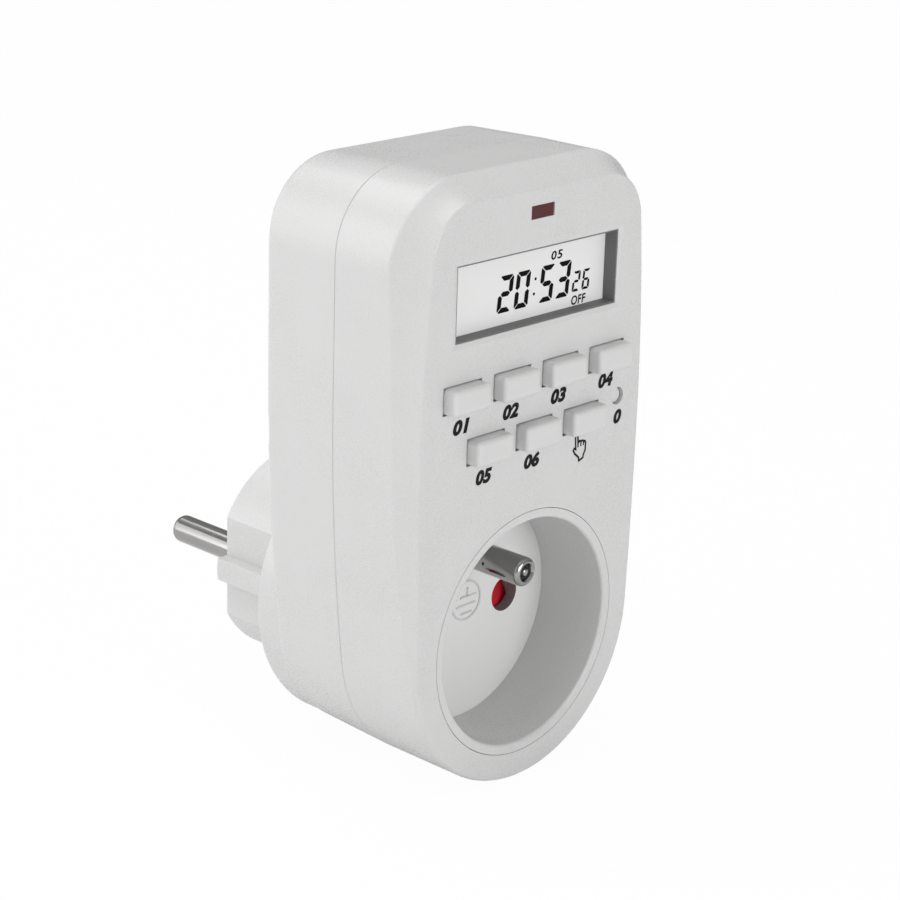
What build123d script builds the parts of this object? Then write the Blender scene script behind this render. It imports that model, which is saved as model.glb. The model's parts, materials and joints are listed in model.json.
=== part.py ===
from build123d import *
import os
from math import asin, atan, cos, degrees, radians, sin, sqrt

# Plug-in timer switch with a display, seven buttons and an earthed socket.
# Frame: the origin is the centre of the plug face, between the roots of its two pins.
# +Y runs along the pins into the wall, -Y is the front, +Z is up. Sizes are millimetres.
# A "depth" is always counted backwards from the front panel.

# ---- Driving dimensions: housing ----
housing_width = 55.0
housing_top = 75.0            # above the socket axis
side_blend_height = 40.0      # the sides are parallel above this height
top_corner_radius = 13.0
wall = 2.0
front_depth = 16.3            # front panel to parting line
rear_draft = 2.0              # degrees
rear_edge_radius = 1.6
parting_chamfer = 0.12        # hairline round the joint of the two shells
lip_height = 1.2              # locating lip of the rear shell inside the front one
lip_clearance = 0.1
lip_thickness = 1.0

panel_side_margin = 2.3       # from the side of the housing to the side of the panel
panel_waist_height = 31.0     # the panel is widest here
panel_side_radius = 326.0     # bow of its sides above the waist
panel_foot_margin = 0.35
panel_top = 72.0
panel_corner_radius = 8.5
cove_radius = 14.0            # hollow sweep from the panel's edge out to the shoulder
cove_angle = 23.5             # between this sweep and the depth direction, at the panel
cove_top_share = 0.55         # the sweep is steeper above the panel than beside it
cove_depth = 7.5              # where it has passed the shoulder everywhere
cove_skin = 2.2
shoulder_radius = 0.8
panel_edge_radius = 0.3

# ---- Driving dimensions: plug ----
flange_margin = 0.7           # from the foot of the housing to the flange
flange_thickness = 4.4
flange_land = 2.3             # what of the flange lies on the back of the housing
spigot_wall = 1.2             # ring of the plug body that fits this opening
spigot_clearance = 0.1
plug_radius = 18.0
plug_flat = 15.8              # half distance between the flats
plug_wall = 2.2
plug_face_thickness = 3.0
plug_length = 17.0            # flange to plug face
guide_rib_width = 3.9
pin_radius = 2.4
pin_length = 19.0
pin_tip_round = 1.3
pin_spacing = 19.0
pin_hole_clearance = 0.05
pin_collar_radius = 2.8       # the part of a plug pin that fills its hole
pin_root_gap = 0.3            # collar or shank that shows at the root of a pin
pin_head_radius = 3.5
pin_tail_radius = 1.7
pin_tail_length = 5.0
earth_offset = 10.0           # earth contact above the line of the pins
earth_hole_radius = 2.9
sleeve_bore_radius = 2.45
sleeve_wall = 0.6
clip_width = 4.6
clip_thickness = 0.9
clip_setback = 0.8            # front end of an earth clip behind the plug face
clip_leg = 4.5                # how far its leg reaches into the plug body
clip_clearance = 0.15
strap_depth = 38.6
strap_thickness = 0.8
strap_reach = 15.0            # half height of the strap inside the plug
strap_run_height = 14.4       # outer face of the run between socket and plug
carrier_setback = 4.4         # front of the pin carrier ahead of the plug's inner face
carrier_thickness = 2.4
carrier_clearance = 0.15
sleeve_boss_gap = 1.3         # behind the legs of the earth clips
sleeve_boss_radius = 4.6
sleeve_setback = 1.0
sleeve_clearance = 0.05
flange_edge_radius = 0.6
plug_edge_radius = 0.5

# ---- Driving dimensions: socket ----
recess_radius = 18.8
recess_depth = 13.4
socket_wall = 1.6
socket_clearance = 0.1
socket_floor = 2.0
aperture_radius = 3.0
collar_depth = 5.0            # where the insert's collar seats behind the panel
collar_thickness = 1.5
collar_width = 1.9
collar_margin = 0.7           # from the collar to the inside of the housing's foot
rim_radius = 0.5
chamber_depth = 5.0           # space for the shutter behind the floor
base_thickness = 2.0
base_post_radius = 1.5
earth_pin_length = 13.1       # from the recess floor
earth_shank_radius = 2.0      # behind the recess floor
earth_stud_radius = 1.5
earth_stud_length = 1.5

shutter_gap = 0.25
shutter_half_width = 13.2
shutter_half_height = 3.6
shutter_top_thickness = 1.6   # the ramps run from here down to the full thickness
spring_seat_height = -16.6    # lower end of the shutter's spring
spring_radius = 1.5
spring_wire = 0.4
spring_turns = 9

contact_gap = 5.0             # between the two leaves of a contact clip
contact_strip = 0.6
contact_height = 5.6
contact_length = 8.8
contact_clearance = 0.15
holder_block_wall = 1.0
tab_height = 2.4

# ---- Driving dimensions: display and lamp ----
window_width = 36.0
window_height = 11.4
window_centre = 56.8          # above the socket axis
surround_thickness = 0.6
surround_lip = 0.2            # dark lip that lines the window
window_bevel_width = 0.8      # shallow bevel of the panel round the window
window_bevel_depth = 0.2
surround_recess = 0.3
surround_clearance = 0.05
glass_thickness = 2.2
glass_border = 0.8
glass_clearance = 0.1
holder_wall = 0.9
holder_corner_radius = 1.2
strip_thickness = 1.3         # rubber connector strip
strip_half_length = 16.0
strip_clearance = 0.1
lamp_width = 5.0
lamp_height = 1.9
lamp_centre = 68.4
lamp_clearance = 0.1
lamp_recess = 0.15
lamp_length = 6.4
lead_radius = 0.25
lead_spacing = 2.54
lead_clearance = 0.1

# ---- Driving dimensions: buttons ----
cap_spacing = 2.95            # between neighbouring caps
cap_margin = 4.675            # from the end caps to the sides of the panel
upper_row_height = 42.5
lower_row_height = 33.4
cap_height = 4.1
cap_projection = 2.4
cap_clearance = 0.15
cap_edge_radius = 0.75
cap_flange = 0.65
cap_flange_thickness = 0.8
cap_gap = 0.05
stem_radius = 1.4
reset_margin = 5.4            # from its middle to the side of the panel
reset_height = 35.2
reset_radius = 1.3
reset_recess = 0.5
button_travel = 0.6

# ---- Driving dimensions: boards ----
control_depth = 8.4           # front face of the control board
board_thickness = 1.6
control_margin = 1.5          # from its edges to the side walls
board_bottom = 28.8
control_top = 71.0
power_depth = 26.6            # front face of the power board
power_margin = 2.0
power_air = 2.0               # power board to the back wall
power_top = 70.0
switch_width = 6.0
switch_height = 3.6
switch_body = 3.2             # how far a push switch stands off the board
plunger_radius = 1.5
plunger_rise = 0.8
plunger_inside = 1.0
plunger_clearance = 0.1
corner_notch = 8.0
battery_radius = 7.75
battery_thickness = 5.8
battery_place = (-12.0, 38.6)
chip_radius = 5.0
chip_height = 1.6
chip_place = (2.5, 41.0)
crystal_radius = 1.0
crystal_length = 6.0
crystal_place = (15.0, 38.0)
film_size = (18.0, 8.0)       # width, height
film_air = 2.6                # between it and the control board
film_place = (12.0, 57.5)
smoothing_radius = 5.0
smoothing_air = 1.0           # between it and the timer chip
smoothing_place = (9.5, 44.0)
small_part_radius = 1.2
small_part_length = 6.0
small_parts_at = [
    (-13.0, 34.0), (-13.0, 38.0), (-13.0, 42.0), (15.0, 34.0), (-2.0, 38.0), (-2.0, 42.0),
]
ribbon_width = 8.0
ribbon_thickness = 0.5
ribbon_x = 4.0
ribbon_height = 31.0
ribbon_bow = 2.5
wire_radius = 0.8
wire_bend = 2.5
supply_x = 6.6                # where the leads reach the lower edge of the power board
output_x = 10.8

# ---- Driving dimensions: relay ----
relay_margin = 8.0            # from its cover to the edge of the power board
relay_centre = 57.0           # above the socket axis
relay_width = 15.5
relay_height = 19.0
relay_air = 1.3               # between its cover and the control board
relay_wall = 0.8
relay_fit = 0.05
relay_base_thickness = 1.8
core_radius = 1.5
core_place = -2.6             # below the relay's middle
coil_radius = 4.3
coil_flange_radius = 5.0
coil_flange_thickness = 0.7
blade_air = 1.8               # between the contact blade and the cover
bobbin_wall = 0.5
yoke_thickness = 1.0
yoke_half_width = 3.5
yoke_leg = 4.6                # outer face of the yoke's leg above the relay's middle
armature_thickness = 0.8
armature_gap = 0.4
pole_radius = 2.6
pole_thickness = 0.6
blade_thickness = 0.3
blade_half_width = 2.0
contact_radius = 1.1
contact_rise = 0.45
contact_opening = 0.4
contact_place = -7.0          # below the relay's middle
contact_arm = 0.4
contact_post = 0.5
contact_post_place = -8.3

# ---- Driving dimensions: fasteners ----
upper_screw_margin = 6.9      # from the sides of the housing
upper_screw_height = 67.7
lower_screw_margin = 5.9
lower_screw_height = 25.0
screw_boss_radius = 3.3
screw_radius = 1.5
screw_head_radius = 2.8
screw_head_height = 2.0
screw_recess = 1.0
small_boss_radius = 1.7
small_screw_radius = 0.9
small_head_radius = 1.6
small_head_height = 1.0
small_screw_length = 4.0
screw_engagement = 9.0
screw_clearance = 0.2
control_screw_rows = [(1.8, 47.0), (3.5, 30.9)]   # distance from the board's edge, height
power_screw_rows = [(2.5, 45.0), (3.5, 31.0)]
carrier_screws_at = [(6.0, -9.0), (-6.0, -9.0)]
drive_width = 0.7             # cross recess in a screw head
drive_length = 3.0
drive_depth = 1.1

# ---- Derived places ----
control_back = control_depth + board_thickness
board_gap = power_depth - control_back
back_depth = power_depth + board_thickness + power_air + wall
rear_depth = back_depth - front_depth
flange_depth = back_depth + flange_thickness
plug_face_depth = flange_depth + plug_length
floor_back = recess_depth + socket_floor
base_depth = floor_back + chamber_depth
glass_depth = wall + surround_thickness
insert_radius = recess_radius + socket_wall
collar_radius = insert_radius + collar_width
foot_radius = collar_radius + collar_margin + wall    # round bottom, about the socket axis
flange_radius = foot_radius - flange_margin
flange_core_radius = flange_radius - flange_land      # round opening that the plug body sits in
panel_foot_radius = foot_radius - panel_foot_margin
panel_half_width = housing_width / 2 - panel_side_margin
cap_width = (2 * (panel_half_width - cap_margin) - 3 * cap_spacing) / 4
button_pitch = cap_width + cap_spacing
reset_x = panel_half_width - reset_margin
control_half_width = housing_width / 2 - wall - control_margin
power_half_width = housing_width / 2 - wall - power_margin
relay_place = (relay_margin + relay_width / 2 - power_half_width, relay_centre)
relay_rise = board_gap - relay_air
film_rise = board_gap - film_air
smoothing_length = board_gap - chip_height - smoothing_air
pin_x = pin_spacing / 2
base_back = base_depth + base_thickness
pocket_depth = plug_face_depth - plug_face_thickness
carrier_depth = pocket_depth - carrier_setback
clip_leg_depth = strap_depth + strap_thickness
sleeve_boss_depth = clip_leg_depth + clip_thickness + sleeve_boss_gap
opening_width = window_width + 2 * (surround_lip + surround_clearance)
opening_height = window_height + 2 * (surround_lip + surround_clearance)
glass_half_width = window_width / 2 + glass_border
glass_half_height = window_height / 2 + glass_border
window_bevel_angle = degrees(atan(window_bevel_width / window_bevel_depth))
upper_row = [(-1.5 + i) * button_pitch for i in range(4)]
lower_row = [(-1.0 + i) * button_pitch for i in range(3)]
button_places = {
    "week_button": (upper_row[0], upper_row_height),
    "hour_button": (upper_row[1], upper_row_height),
    "minute_button": (upper_row[2], upper_row_height),
    "second_button": (upper_row[3], upper_row_height),
    "clock_button": (lower_row[0], lower_row_height),
    "program_button": (lower_row[1], lower_row_height),
    "manual_button": (lower_row[2], lower_row_height),
}
press_places = {**button_places, "reset_button": (reset_x, reset_height)}
upper_screw_x = housing_width / 2 - upper_screw_margin
lower_screw_x = housing_width / 2 - lower_screw_margin
housing_screws_at = [
    (side * x, z)
    for x, z in ((upper_screw_x, upper_screw_height), (lower_screw_x, lower_screw_height))
    for side in (-1, 1)
]
control_screws_at = [
    (side * (control_half_width - edge), z) for edge, z in control_screw_rows for side in (1, -1)
]
power_screws_at = [
    (side * (power_half_width - edge), z) for edge, z in power_screw_rows for side in (1, -1)
]

os.makedirs("parts", exist_ok=True)


def station(depth):
    """Plane facing the front, the given depth behind the front panel."""
    return Plane.XZ.offset(plug_face_depth - depth)


def back_station(depth):
    """Plane facing the wall, the given depth behind the front panel."""
    return Plane(origin=(0, depth - plug_face_depth, 0), x_dir=(-1, 0, 0), z_dir=(0, 1, 0))


def keep(part, name):
    """Label a finished piece and write its STEP file."""
    part.label = name
    export_step(part, f"parts/{name}.step")


def side_arc(half, height, radius, turn):
    """Side of an outline from its round foot up to a height, bowed in if the radius is negative."""
    CenterArc((half - radius, height), abs(radius), (0 if radius > 0 else 180) - turn, turn)


def housing_profile(inset):
    """Outline of the housing: round foot, gently bowed sides, rounded top."""
    half = housing_width / 2 - inset
    foot = foot_radius - inset
    top = housing_top - inset
    corner = top_corner_radius - inset
    side = (half**2 + side_blend_height**2 - foot**2) / (2 * (half - foot))
    turn = degrees(asin(side_blend_height / (side - foot)))
    with BuildSketch(Plane.XY) as profile:
        with BuildLine():
            CenterArc((0, 0), foot, -90, 90 - turn)
            side_arc(half, side_blend_height, side, turn)
            Line((half, side_blend_height), (half, top - corner))
            CenterArc((half - corner, top - corner), corner, 0, 90)
            Line((half - corner, top), (0, top))
            mirror(about=Plane.YZ)
        make_face()
    return profile.sketch


def panel_profile(grow, top_grow):
    """Outline of the front panel, its sides and top moved out by the given amounts."""
    foot = panel_foot_radius
    low = (panel_half_width**2 + panel_waist_height**2 - foot**2) / (2 * (panel_half_width - foot))
    foot_turn = degrees(asin(panel_waist_height / (low - foot)))
    corner = panel_corner_radius
    rise = panel_top - corner - panel_waist_height
    corner_turn = degrees(asin(rise / (panel_side_radius - corner)))
    corner_x = panel_half_width - panel_side_radius + sqrt((panel_side_radius - corner) ** 2 - rise**2)
    side_centre = (panel_half_width - panel_side_radius, panel_waist_height)
    with BuildSketch(Plane.XY) as profile:
        with BuildLine():
            CenterArc((0, 0), foot + grow, -90, 90 - foot_turn)
            side_arc(panel_half_width + grow, panel_waist_height, low + grow, foot_turn)
            side = CenterArc(side_centre, panel_side_radius + grow, 0, corner_turn)
            bend = JernArc(side @ 1, side % 1, corner + (grow + top_grow) / 2, 90 - corner_turn)
            Line(bend @ 1, (0, (bend @ 1).Y))
            mirror(about=Plane.YZ)
        make_face()
    return profile.sketch


def cove_offset(depth):
    """How far the hollow sweep round the panel has moved out at a depth."""
    start = radians(cove_angle)
    return cove_radius * (cos(start) - cos(asin(sin(start) + depth / cove_radius)))


def plug_profile(inset):
    """Section of the plug body: a circle with two flats and a guide rib on each."""
    with BuildSketch(Plane.XY) as profile:
        Circle(plug_radius - inset)
        Rectangle(2 * (plug_flat - inset), 2 * plug_radius, mode=Mode.INTERSECT)
        if inset == 0:
            with BuildSketch(Plane.XY, mode=Mode.PRIVATE) as ribs:
                Circle(plug_radius)
                Rectangle(2 * plug_radius, guide_rib_width, mode=Mode.INTERSECT)
            add(ribs.sketch)
    return profile.sketch


# ---- Front housing ----
outer_profile = housing_profile(0)
inner_profile = housing_profile(wall)
lip_outer = housing_profile(wall + lip_clearance)
lip_inner = housing_profile(wall + lip_clearance + lip_thickness)
lip_root = housing_profile(wall - lip_clearance)

with BuildPart() as front_block:
    with BuildSketch(station(cove_depth)):
        add(outer_profile)
    extrude(amount=cove_depth)
    for share in (0, 0.25, 0.5, 0.75, 1):
        reach = cove_offset(share * cove_depth)
        with BuildSketch(station(share * cove_depth)):
            add(panel_profile(reach, cove_top_share * reach))
    loft(mode=Mode.INTERSECT)
    with BuildSketch(station(front_depth)):
        add(outer_profile)
    extrude(amount=front_depth - cove_depth)
    panel = front_block.faces().sort_by(Axis.Y)[0]
    parting = front_block.faces().sort_by(Axis.Y)[-1]
    shoulder = front_block.edges() - panel.edges() - parting.edges()
    fillet(shoulder.filter_by(lambda edge: abs(edge.tangent_at(0.5).Y) < 0.5), shoulder_radius)
    panel = front_block.faces().sort_by(Axis.Y)[0]
    fillet(panel.edges(), panel_edge_radius)
    parting = front_block.faces().sort_by(Axis.Y)[-1]
    chamfer(parting.edges(), parting_chamfer)

with BuildPart() as front_core:
    with BuildSketch(station(cove_depth)):
        add(inner_profile)
    extrude(amount=cove_depth - wall)
    for share in (0, 0.5, 1):
        core_depth = wall + share * (cove_depth - wall)
        reach = cove_offset(core_depth)
        with BuildSketch(station(core_depth)):
            add(panel_profile(reach - cove_skin, cove_top_share * reach - cove_skin))
    loft(mode=Mode.INTERSECT)
    with BuildSketch(station(front_depth)):
        add(inner_profile)
    extrude(amount=front_depth - cove_depth)

with BuildPart() as front_housing:
    add(front_block.part)
    add(front_core.part, mode=Mode.SUBTRACT)
    # ring that the socket insert's collar seats on, and the screw bosses
    with BuildSketch(station(collar_depth)):
        Circle(collar_radius)
    extrude(amount=collar_depth - wall)
    with BuildSketch(station(front_depth)):
        with Locations(*housing_screws_at):
            Circle(screw_boss_radius)
    extrude(amount=front_depth - wall)
    with BuildSketch(station(control_depth)):
        with Locations(*control_screws_at):
            Circle(small_boss_radius)
    extrude(amount=control_depth - wall)
    add(front_block.part, mode=Mode.INTERSECT)
    # socket opening, display window, lamp slot, button and reset holes
    with BuildSketch(station(collar_depth)):
        Circle(insert_radius + socket_clearance)
    extrude(amount=collar_depth, mode=Mode.SUBTRACT)
    with BuildSketch(station(wall)):
        with Locations((0, window_centre)):
            Rectangle(opening_width, opening_height)
        with Locations((0, lamp_centre)):
            Rectangle(lamp_width + 2 * lamp_clearance, lamp_height + 2 * lamp_clearance)
        with Locations(*button_places.values()):
            Rectangle(cap_width + 2 * cap_clearance, cap_height + 2 * cap_clearance)
        with Locations((reset_x, reset_height)):
            Circle(reset_radius + cap_clearance)
    extrude(amount=wall, mode=Mode.SUBTRACT)
    with BuildSketch(station(window_bevel_depth)):
        with Locations((0, window_centre)):
            Rectangle(opening_width, opening_height)
    extrude(amount=window_bevel_depth, taper=-window_bevel_angle, mode=Mode.SUBTRACT)
    with BuildSketch(station(front_depth)):
        with Locations(*housing_screws_at):
            Circle(screw_radius)
    extrude(amount=screw_engagement, mode=Mode.SUBTRACT)
    with BuildSketch(station(control_depth)):
        with Locations(*control_screws_at):
            Circle(small_screw_radius)
    extrude(amount=small_screw_length, mode=Mode.SUBTRACT)
keep(front_housing.part, "front_housing")

# ---- Rear housing ----
with BuildPart() as rear_block:
    with BuildSketch(back_station(front_depth)):
        add(outer_profile)
    extrude(amount=rear_depth, taper=rear_draft)
    back = rear_block.faces().sort_by(Axis.Y)[-1]
    fillet(back.edges(), rear_edge_radius)
    # round pad that carries the flange
    with BuildSketch(back_station(back_depth - rear_edge_radius)):
        Circle(flange_radius)
    extrude(amount=rear_edge_radius)
    parting = rear_block.faces().sort_by(Axis.Y)[0]
    chamfer(parting.edges(), parting_chamfer)

with BuildPart() as rear_housing:
    add(rear_block.part)
    with BuildSketch(back_station(front_depth)):
        add(inner_profile)
    extrude(amount=rear_depth - wall, taper=rear_draft, mode=Mode.SUBTRACT)
    with BuildSketch(back_station(back_depth - wall)):
        Circle(flange_core_radius)
    extrude(amount=wall, mode=Mode.SUBTRACT)
    # screw bosses, board bosses, locating lip
    with BuildSketch(back_station(front_depth)):
        with Locations(*housing_screws_at):
            Circle(screw_boss_radius)
    extrude(amount=rear_depth)
    with BuildSketch(station(back_depth)):
        with Locations(*power_screws_at):
            Circle(small_boss_radius)
    extrude(amount=back_depth - power_depth - board_thickness)
    add(rear_block.part, mode=Mode.INTERSECT)
    with BuildSketch(station(front_depth)):
        add(lip_outer)
        add(lip_inner, mode=Mode.SUBTRACT)
        with Locations(*housing_screws_at):
            Circle(screw_boss_radius + lip_clearance, mode=Mode.SUBTRACT)
    extrude(amount=lip_height)
    with BuildSketch(back_station(front_depth)):
        add(lip_root)
        add(lip_inner, mode=Mode.SUBTRACT)
    extrude(amount=lip_height)
    # holes: screws with their head recesses, board screws
    with BuildSketch(back_station(front_depth)):
        with Locations(*housing_screws_at):
            Circle(screw_radius + screw_clearance)
    extrude(amount=rear_depth, mode=Mode.SUBTRACT)
    with BuildSketch(station(back_depth)):
        with Locations(*housing_screws_at):
            Circle(screw_head_radius + screw_clearance)
    extrude(amount=screw_head_height + screw_recess, mode=Mode.SUBTRACT)
    with BuildSketch(back_station(power_depth + board_thickness)):
        with Locations(*power_screws_at):
            Circle(small_screw_radius)
    extrude(amount=small_screw_length - board_thickness, mode=Mode.SUBTRACT)
keep(rear_housing.part, "rear_housing")

# ---- Plug body: flange, spigot and the round body with its flats ----
plug_outline = plug_profile(0)
plug_cavity = plug_profile(plug_wall)
spigot_radius = flange_core_radius - spigot_clearance

with BuildPart() as plug_block:
    with BuildSketch(back_station(back_depth)):
        Circle(flange_radius)
    extrude(amount=flange_thickness)
    flange_back = plug_block.faces().sort_by(Axis.Y)[-1]
    fillet(flange_back.edges(), flange_edge_radius)
    with BuildSketch(back_station(flange_depth)):
        add(plug_outline)
    extrude(amount=plug_length)
    plug_face = plug_block.faces().sort_by(Axis.Y)[-1]
    fillet(plug_face.edges(), plug_edge_radius)
    with BuildSketch(back_station(back_depth - wall)):
        Circle(spigot_radius)
    extrude(amount=wall)

with BuildPart() as plug_body:
    add(plug_block.part)
    with BuildSketch(back_station(back_depth - wall)):
        Circle(spigot_radius - spigot_wall)
    extrude(amount=flange_thickness, mode=Mode.SUBTRACT)
    with BuildSketch(back_station(flange_depth - wall)):
        add(plug_cavity)
    extrude(amount=pocket_depth - flange_depth + wall, mode=Mode.SUBTRACT)
    # boss round the earth sleeve, and the two bosses of the pin carrier
    with BuildSketch(back_station(sleeve_boss_depth)):
        with Locations((0, earth_offset)):
            Circle(sleeve_boss_radius)
    extrude(amount=plug_face_depth - sleeve_boss_depth)
    with BuildSketch(back_station(carrier_depth + carrier_thickness)):
        with Locations(*carrier_screws_at):
            Circle(small_boss_radius)
    extrude(amount=pocket_depth - carrier_depth - carrier_thickness)
    add(plug_block.part, mode=Mode.INTERSECT)
    # holes: carrier screws, pins, earth hole and sleeve
    with BuildSketch(back_station(carrier_depth)):
        with Locations(*carrier_screws_at):
            Circle(small_screw_radius)
    extrude(amount=small_screw_length, mode=Mode.SUBTRACT)
    with BuildSketch(station(plug_face_depth)):
        with GridLocations(pin_spacing, 0, 2, 1):
            Circle(pin_collar_radius + pin_hole_clearance)
        with Locations((0, earth_offset)):
            Circle(earth_hole_radius)
    extrude(amount=plug_face_thickness, mode=Mode.SUBTRACT)
    with BuildSketch(station(plug_face_depth - sleeve_setback)):
        with Locations((0, earth_offset)):
            Circle(sleeve_bore_radius + sleeve_wall + sleeve_clearance)
    extrude(amount=plug_length, mode=Mode.SUBTRACT)
    # grooves and slots of the two earth clips
    with BuildSketch(station(plug_face_depth)):
        with GridLocations(0, 2 * plug_radius - clip_thickness - clip_clearance, 1, 2):
            Rectangle(clip_width + 2 * clip_clearance, clip_thickness + clip_clearance)
    extrude(amount=plug_face_depth - clip_leg_depth + clip_clearance, mode=Mode.SUBTRACT)
    with BuildSketch(station(clip_leg_depth + clip_thickness + clip_clearance)):
        with GridLocations(0, 2 * plug_radius - 2 * plug_wall, 1, 2):
            Rectangle(clip_width + 2 * clip_clearance, 2 * plug_wall + 1)
    extrude(amount=clip_thickness + 2 * clip_clearance, mode=Mode.SUBTRACT)
keep(plug_body.part, "plug_body")

# ---- Socket insert, its shutter and spring ----
shutter_top = floor_back + shutter_gap
shutter_back = base_depth - shutter_gap
shutter_rest_foot = -shutter_half_height

with BuildPart() as socket_insert:
    with BuildSketch(station(base_depth)):
        Circle(insert_radius)
    extrude(amount=base_depth)
    with BuildSketch(station(collar_depth + collar_thickness)):
        Circle(collar_radius)
    extrude(amount=collar_thickness)
    with BuildSketch(station(recess_depth)):
        Circle(recess_radius)
    extrude(amount=recess_depth, mode=Mode.SUBTRACT)
    mouth = socket_insert.edges().group_by(Axis.Y)[0].sort_by(SortBy.LENGTH)[0]
    fillet(mouth, rim_radius)
    with BuildSketch(station(base_depth)):
        Circle(recess_radius)
    extrude(amount=chamber_depth, mode=Mode.SUBTRACT)
    # guides on both sides of the shutter, and the seat of its spring
    with BuildSketch(station(base_depth)):
        with GridLocations(2 * shutter_half_width + 2 * shutter_gap + socket_wall, 0, 2, 1):
            Rectangle(socket_wall, 3 * shutter_half_height)
        with Locations((0, spring_seat_height)):
            Rectangle(4 * spring_radius, 4 * socket_wall, align=(Align.CENTER, Align.MAX))
        Circle(recess_radius, mode=Mode.INTERSECT)
    extrude(amount=chamber_depth)
    with BuildSketch(station(floor_back)):
        with GridLocations(pin_spacing, 0, 2, 1):
            Circle(aperture_radius)
        with Locations((0, earth_offset)):
            Circle(earth_shank_radius + pin_hole_clearance)
    extrude(amount=socket_floor, mode=Mode.SUBTRACT)
keep(socket_insert.part, "socket_insert")

with BuildPart() as shutter:
    with BuildSketch(Plane.YZ.offset(-shutter_half_width)):
        with BuildLine():
            Polyline(
                (shutter_top - plug_face_depth, -shutter_half_height),
                (shutter_back - plug_face_depth, -shutter_half_height),
                (shutter_back - plug_face_depth, shutter_half_height),
                (shutter_back - shutter_top_thickness - plug_face_depth, shutter_half_height),
                close=True,
            )
        make_face()
    extrude(amount=2 * shutter_half_width)
    fillet(shutter.edges().filter_by(Axis.Y), rim_radius)
keep(shutter.part, "shutter")

spring_length = shutter_rest_foot - spring_seat_height - spring_wire
spring_depth = (floor_back + base_depth) / 2
spring_base = (0, spring_depth - plug_face_depth, spring_seat_height + spring_wire / 2)
with BuildPart() as shutter_spring:
    with BuildLine():
        coil = Helix(
            pitch=spring_length / spring_turns, height=spring_length, radius=spring_radius,
            center=spring_base,
        )
    with BuildSketch(Plane(origin=coil @ 0, z_dir=coil % 0)):
        RegularPolygon(spring_wire / 2, 6)
    sweep()
keep(shutter_spring.part, "shutter_spring")

with BuildPart() as socket_base:
    with BuildSketch(station(base_back)):
        Circle(insert_radius)
    extrude(amount=base_thickness)
    holder_width = contact_gap + 2 * contact_strip + 2 * contact_clearance
    holder_top = contact_height / 2 + contact_strip + contact_clearance
    with BuildSketch(station(base_back)):
        with GridLocations(pin_spacing, 0, 2, 1):
            Rectangle(holder_width + 2 * holder_block_wall, 2 * (holder_top + holder_block_wall))
        with GridLocations(pin_spacing, 0, 2, 1):
            Rectangle(holder_width, 2 * holder_top, mode=Mode.SUBTRACT)
    extrude(amount=-(contact_length - holder_block_wall))
    # posts that the flange presses on
    with BuildSketch(station(base_back)):
        with PolarLocations(recess_radius - base_post_radius / 2, 4, 45):
            Circle(base_post_radius)
    extrude(amount=-(flange_depth - wall - base_back))
    with BuildSketch(station(base_back)):
        with GridLocations(pin_spacing, 0, 2, 1):
            Circle(aperture_radius)
        with Locations((0, earth_offset)):
            Circle(earth_shank_radius + pin_hole_clearance)
    extrude(amount=base_thickness, mode=Mode.SUBTRACT)
    # notches that let the solder tabs out
    with BuildSketch(station(base_back + contact_length)):
        with Locations(*[(side * pin_x, holder_top + holder_block_wall / 2) for side in (-1, 1)]):
            Rectangle(contact_gap, holder_block_wall + contact_clearance)
    extrude(amount=contact_length / 2, mode=Mode.SUBTRACT)
keep(socket_base.part, "socket_base")

for side, name in ((-1, "line_contact"), (1, "neutral_contact")):
    with BuildPart() as contact:
        with BuildSketch(station(base_back)):
            with Locations((side * pin_x, contact_strip / 2)):
                Rectangle(contact_gap + 2 * contact_strip, contact_height + contact_strip)
            with Locations((side * pin_x, 0)):
                Rectangle(contact_gap, contact_height, mode=Mode.SUBTRACT)
            with Locations((side * pin_x, -contact_height / 2)):
                Rectangle(contact_gap, contact_strip, mode=Mode.SUBTRACT)
        extrude(amount=-contact_length)
        with BuildSketch(station(base_back + contact_length)):
            with Locations((side * pin_x, contact_height / 2)):
                Rectangle(contact_gap / 2, tab_height, align=(Align.CENTER, Align.MIN))
        extrude(amount=contact_strip)
    keep(contact.part, name)

with BuildPart() as socket_earth_pin:
    with BuildSketch(station(recess_depth - pin_root_gap)):
        with Locations((0, earth_offset)):
            Circle(pin_radius)
    extrude(amount=earth_pin_length - pin_root_gap)
    tip = socket_earth_pin.edges().group_by(Axis.Y)[0]
    fillet(tip, pin_tip_round)
    with BuildSketch(station(base_back)):
        with Locations((0, earth_offset)):
            Circle(earth_shank_radius)
    extrude(amount=base_back - recess_depth + pin_root_gap)
    with BuildSketch(station(base_back + earth_stud_length)):
        with Locations((0, earth_offset)):
            Circle(earth_stud_radius)
    extrude(amount=earth_stud_length)
keep(socket_earth_pin.part, "socket_earth_pin")

# ---- Plug pins, their carrier and the earth parts of the plug ----
carrier_back = carrier_depth + carrier_thickness
for side, name in ((-1, "plug_pin_left"), (1, "plug_pin_right")):
    with BuildPart() as plug_pin:
        with BuildSketch(back_station(plug_face_depth + pin_root_gap)):
            with Locations((-side * pin_x, 0)):
                Circle(pin_radius)
        extrude(amount=pin_length - pin_root_gap)
        tip = plug_pin.edges().group_by(Axis.Y)[-1]
        fillet(tip, pin_tip_round)
        with BuildSketch(back_station(pocket_depth)):
            with Locations((-side * pin_x, 0)):
                Circle(pin_collar_radius)
        extrude(amount=plug_face_thickness + pin_root_gap)
        with BuildSketch(back_station(carrier_back)):
            with Locations((-side * pin_x, 0)):
                Circle(pin_head_radius)
        extrude(amount=pocket_depth - carrier_back)
        with BuildSketch(back_station(carrier_back - pin_tail_length)):
            with Locations((-side * pin_x, 0)):
                Circle(pin_tail_radius)
        extrude(amount=pin_tail_length)
    keep(plug_pin.part, name)

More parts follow.
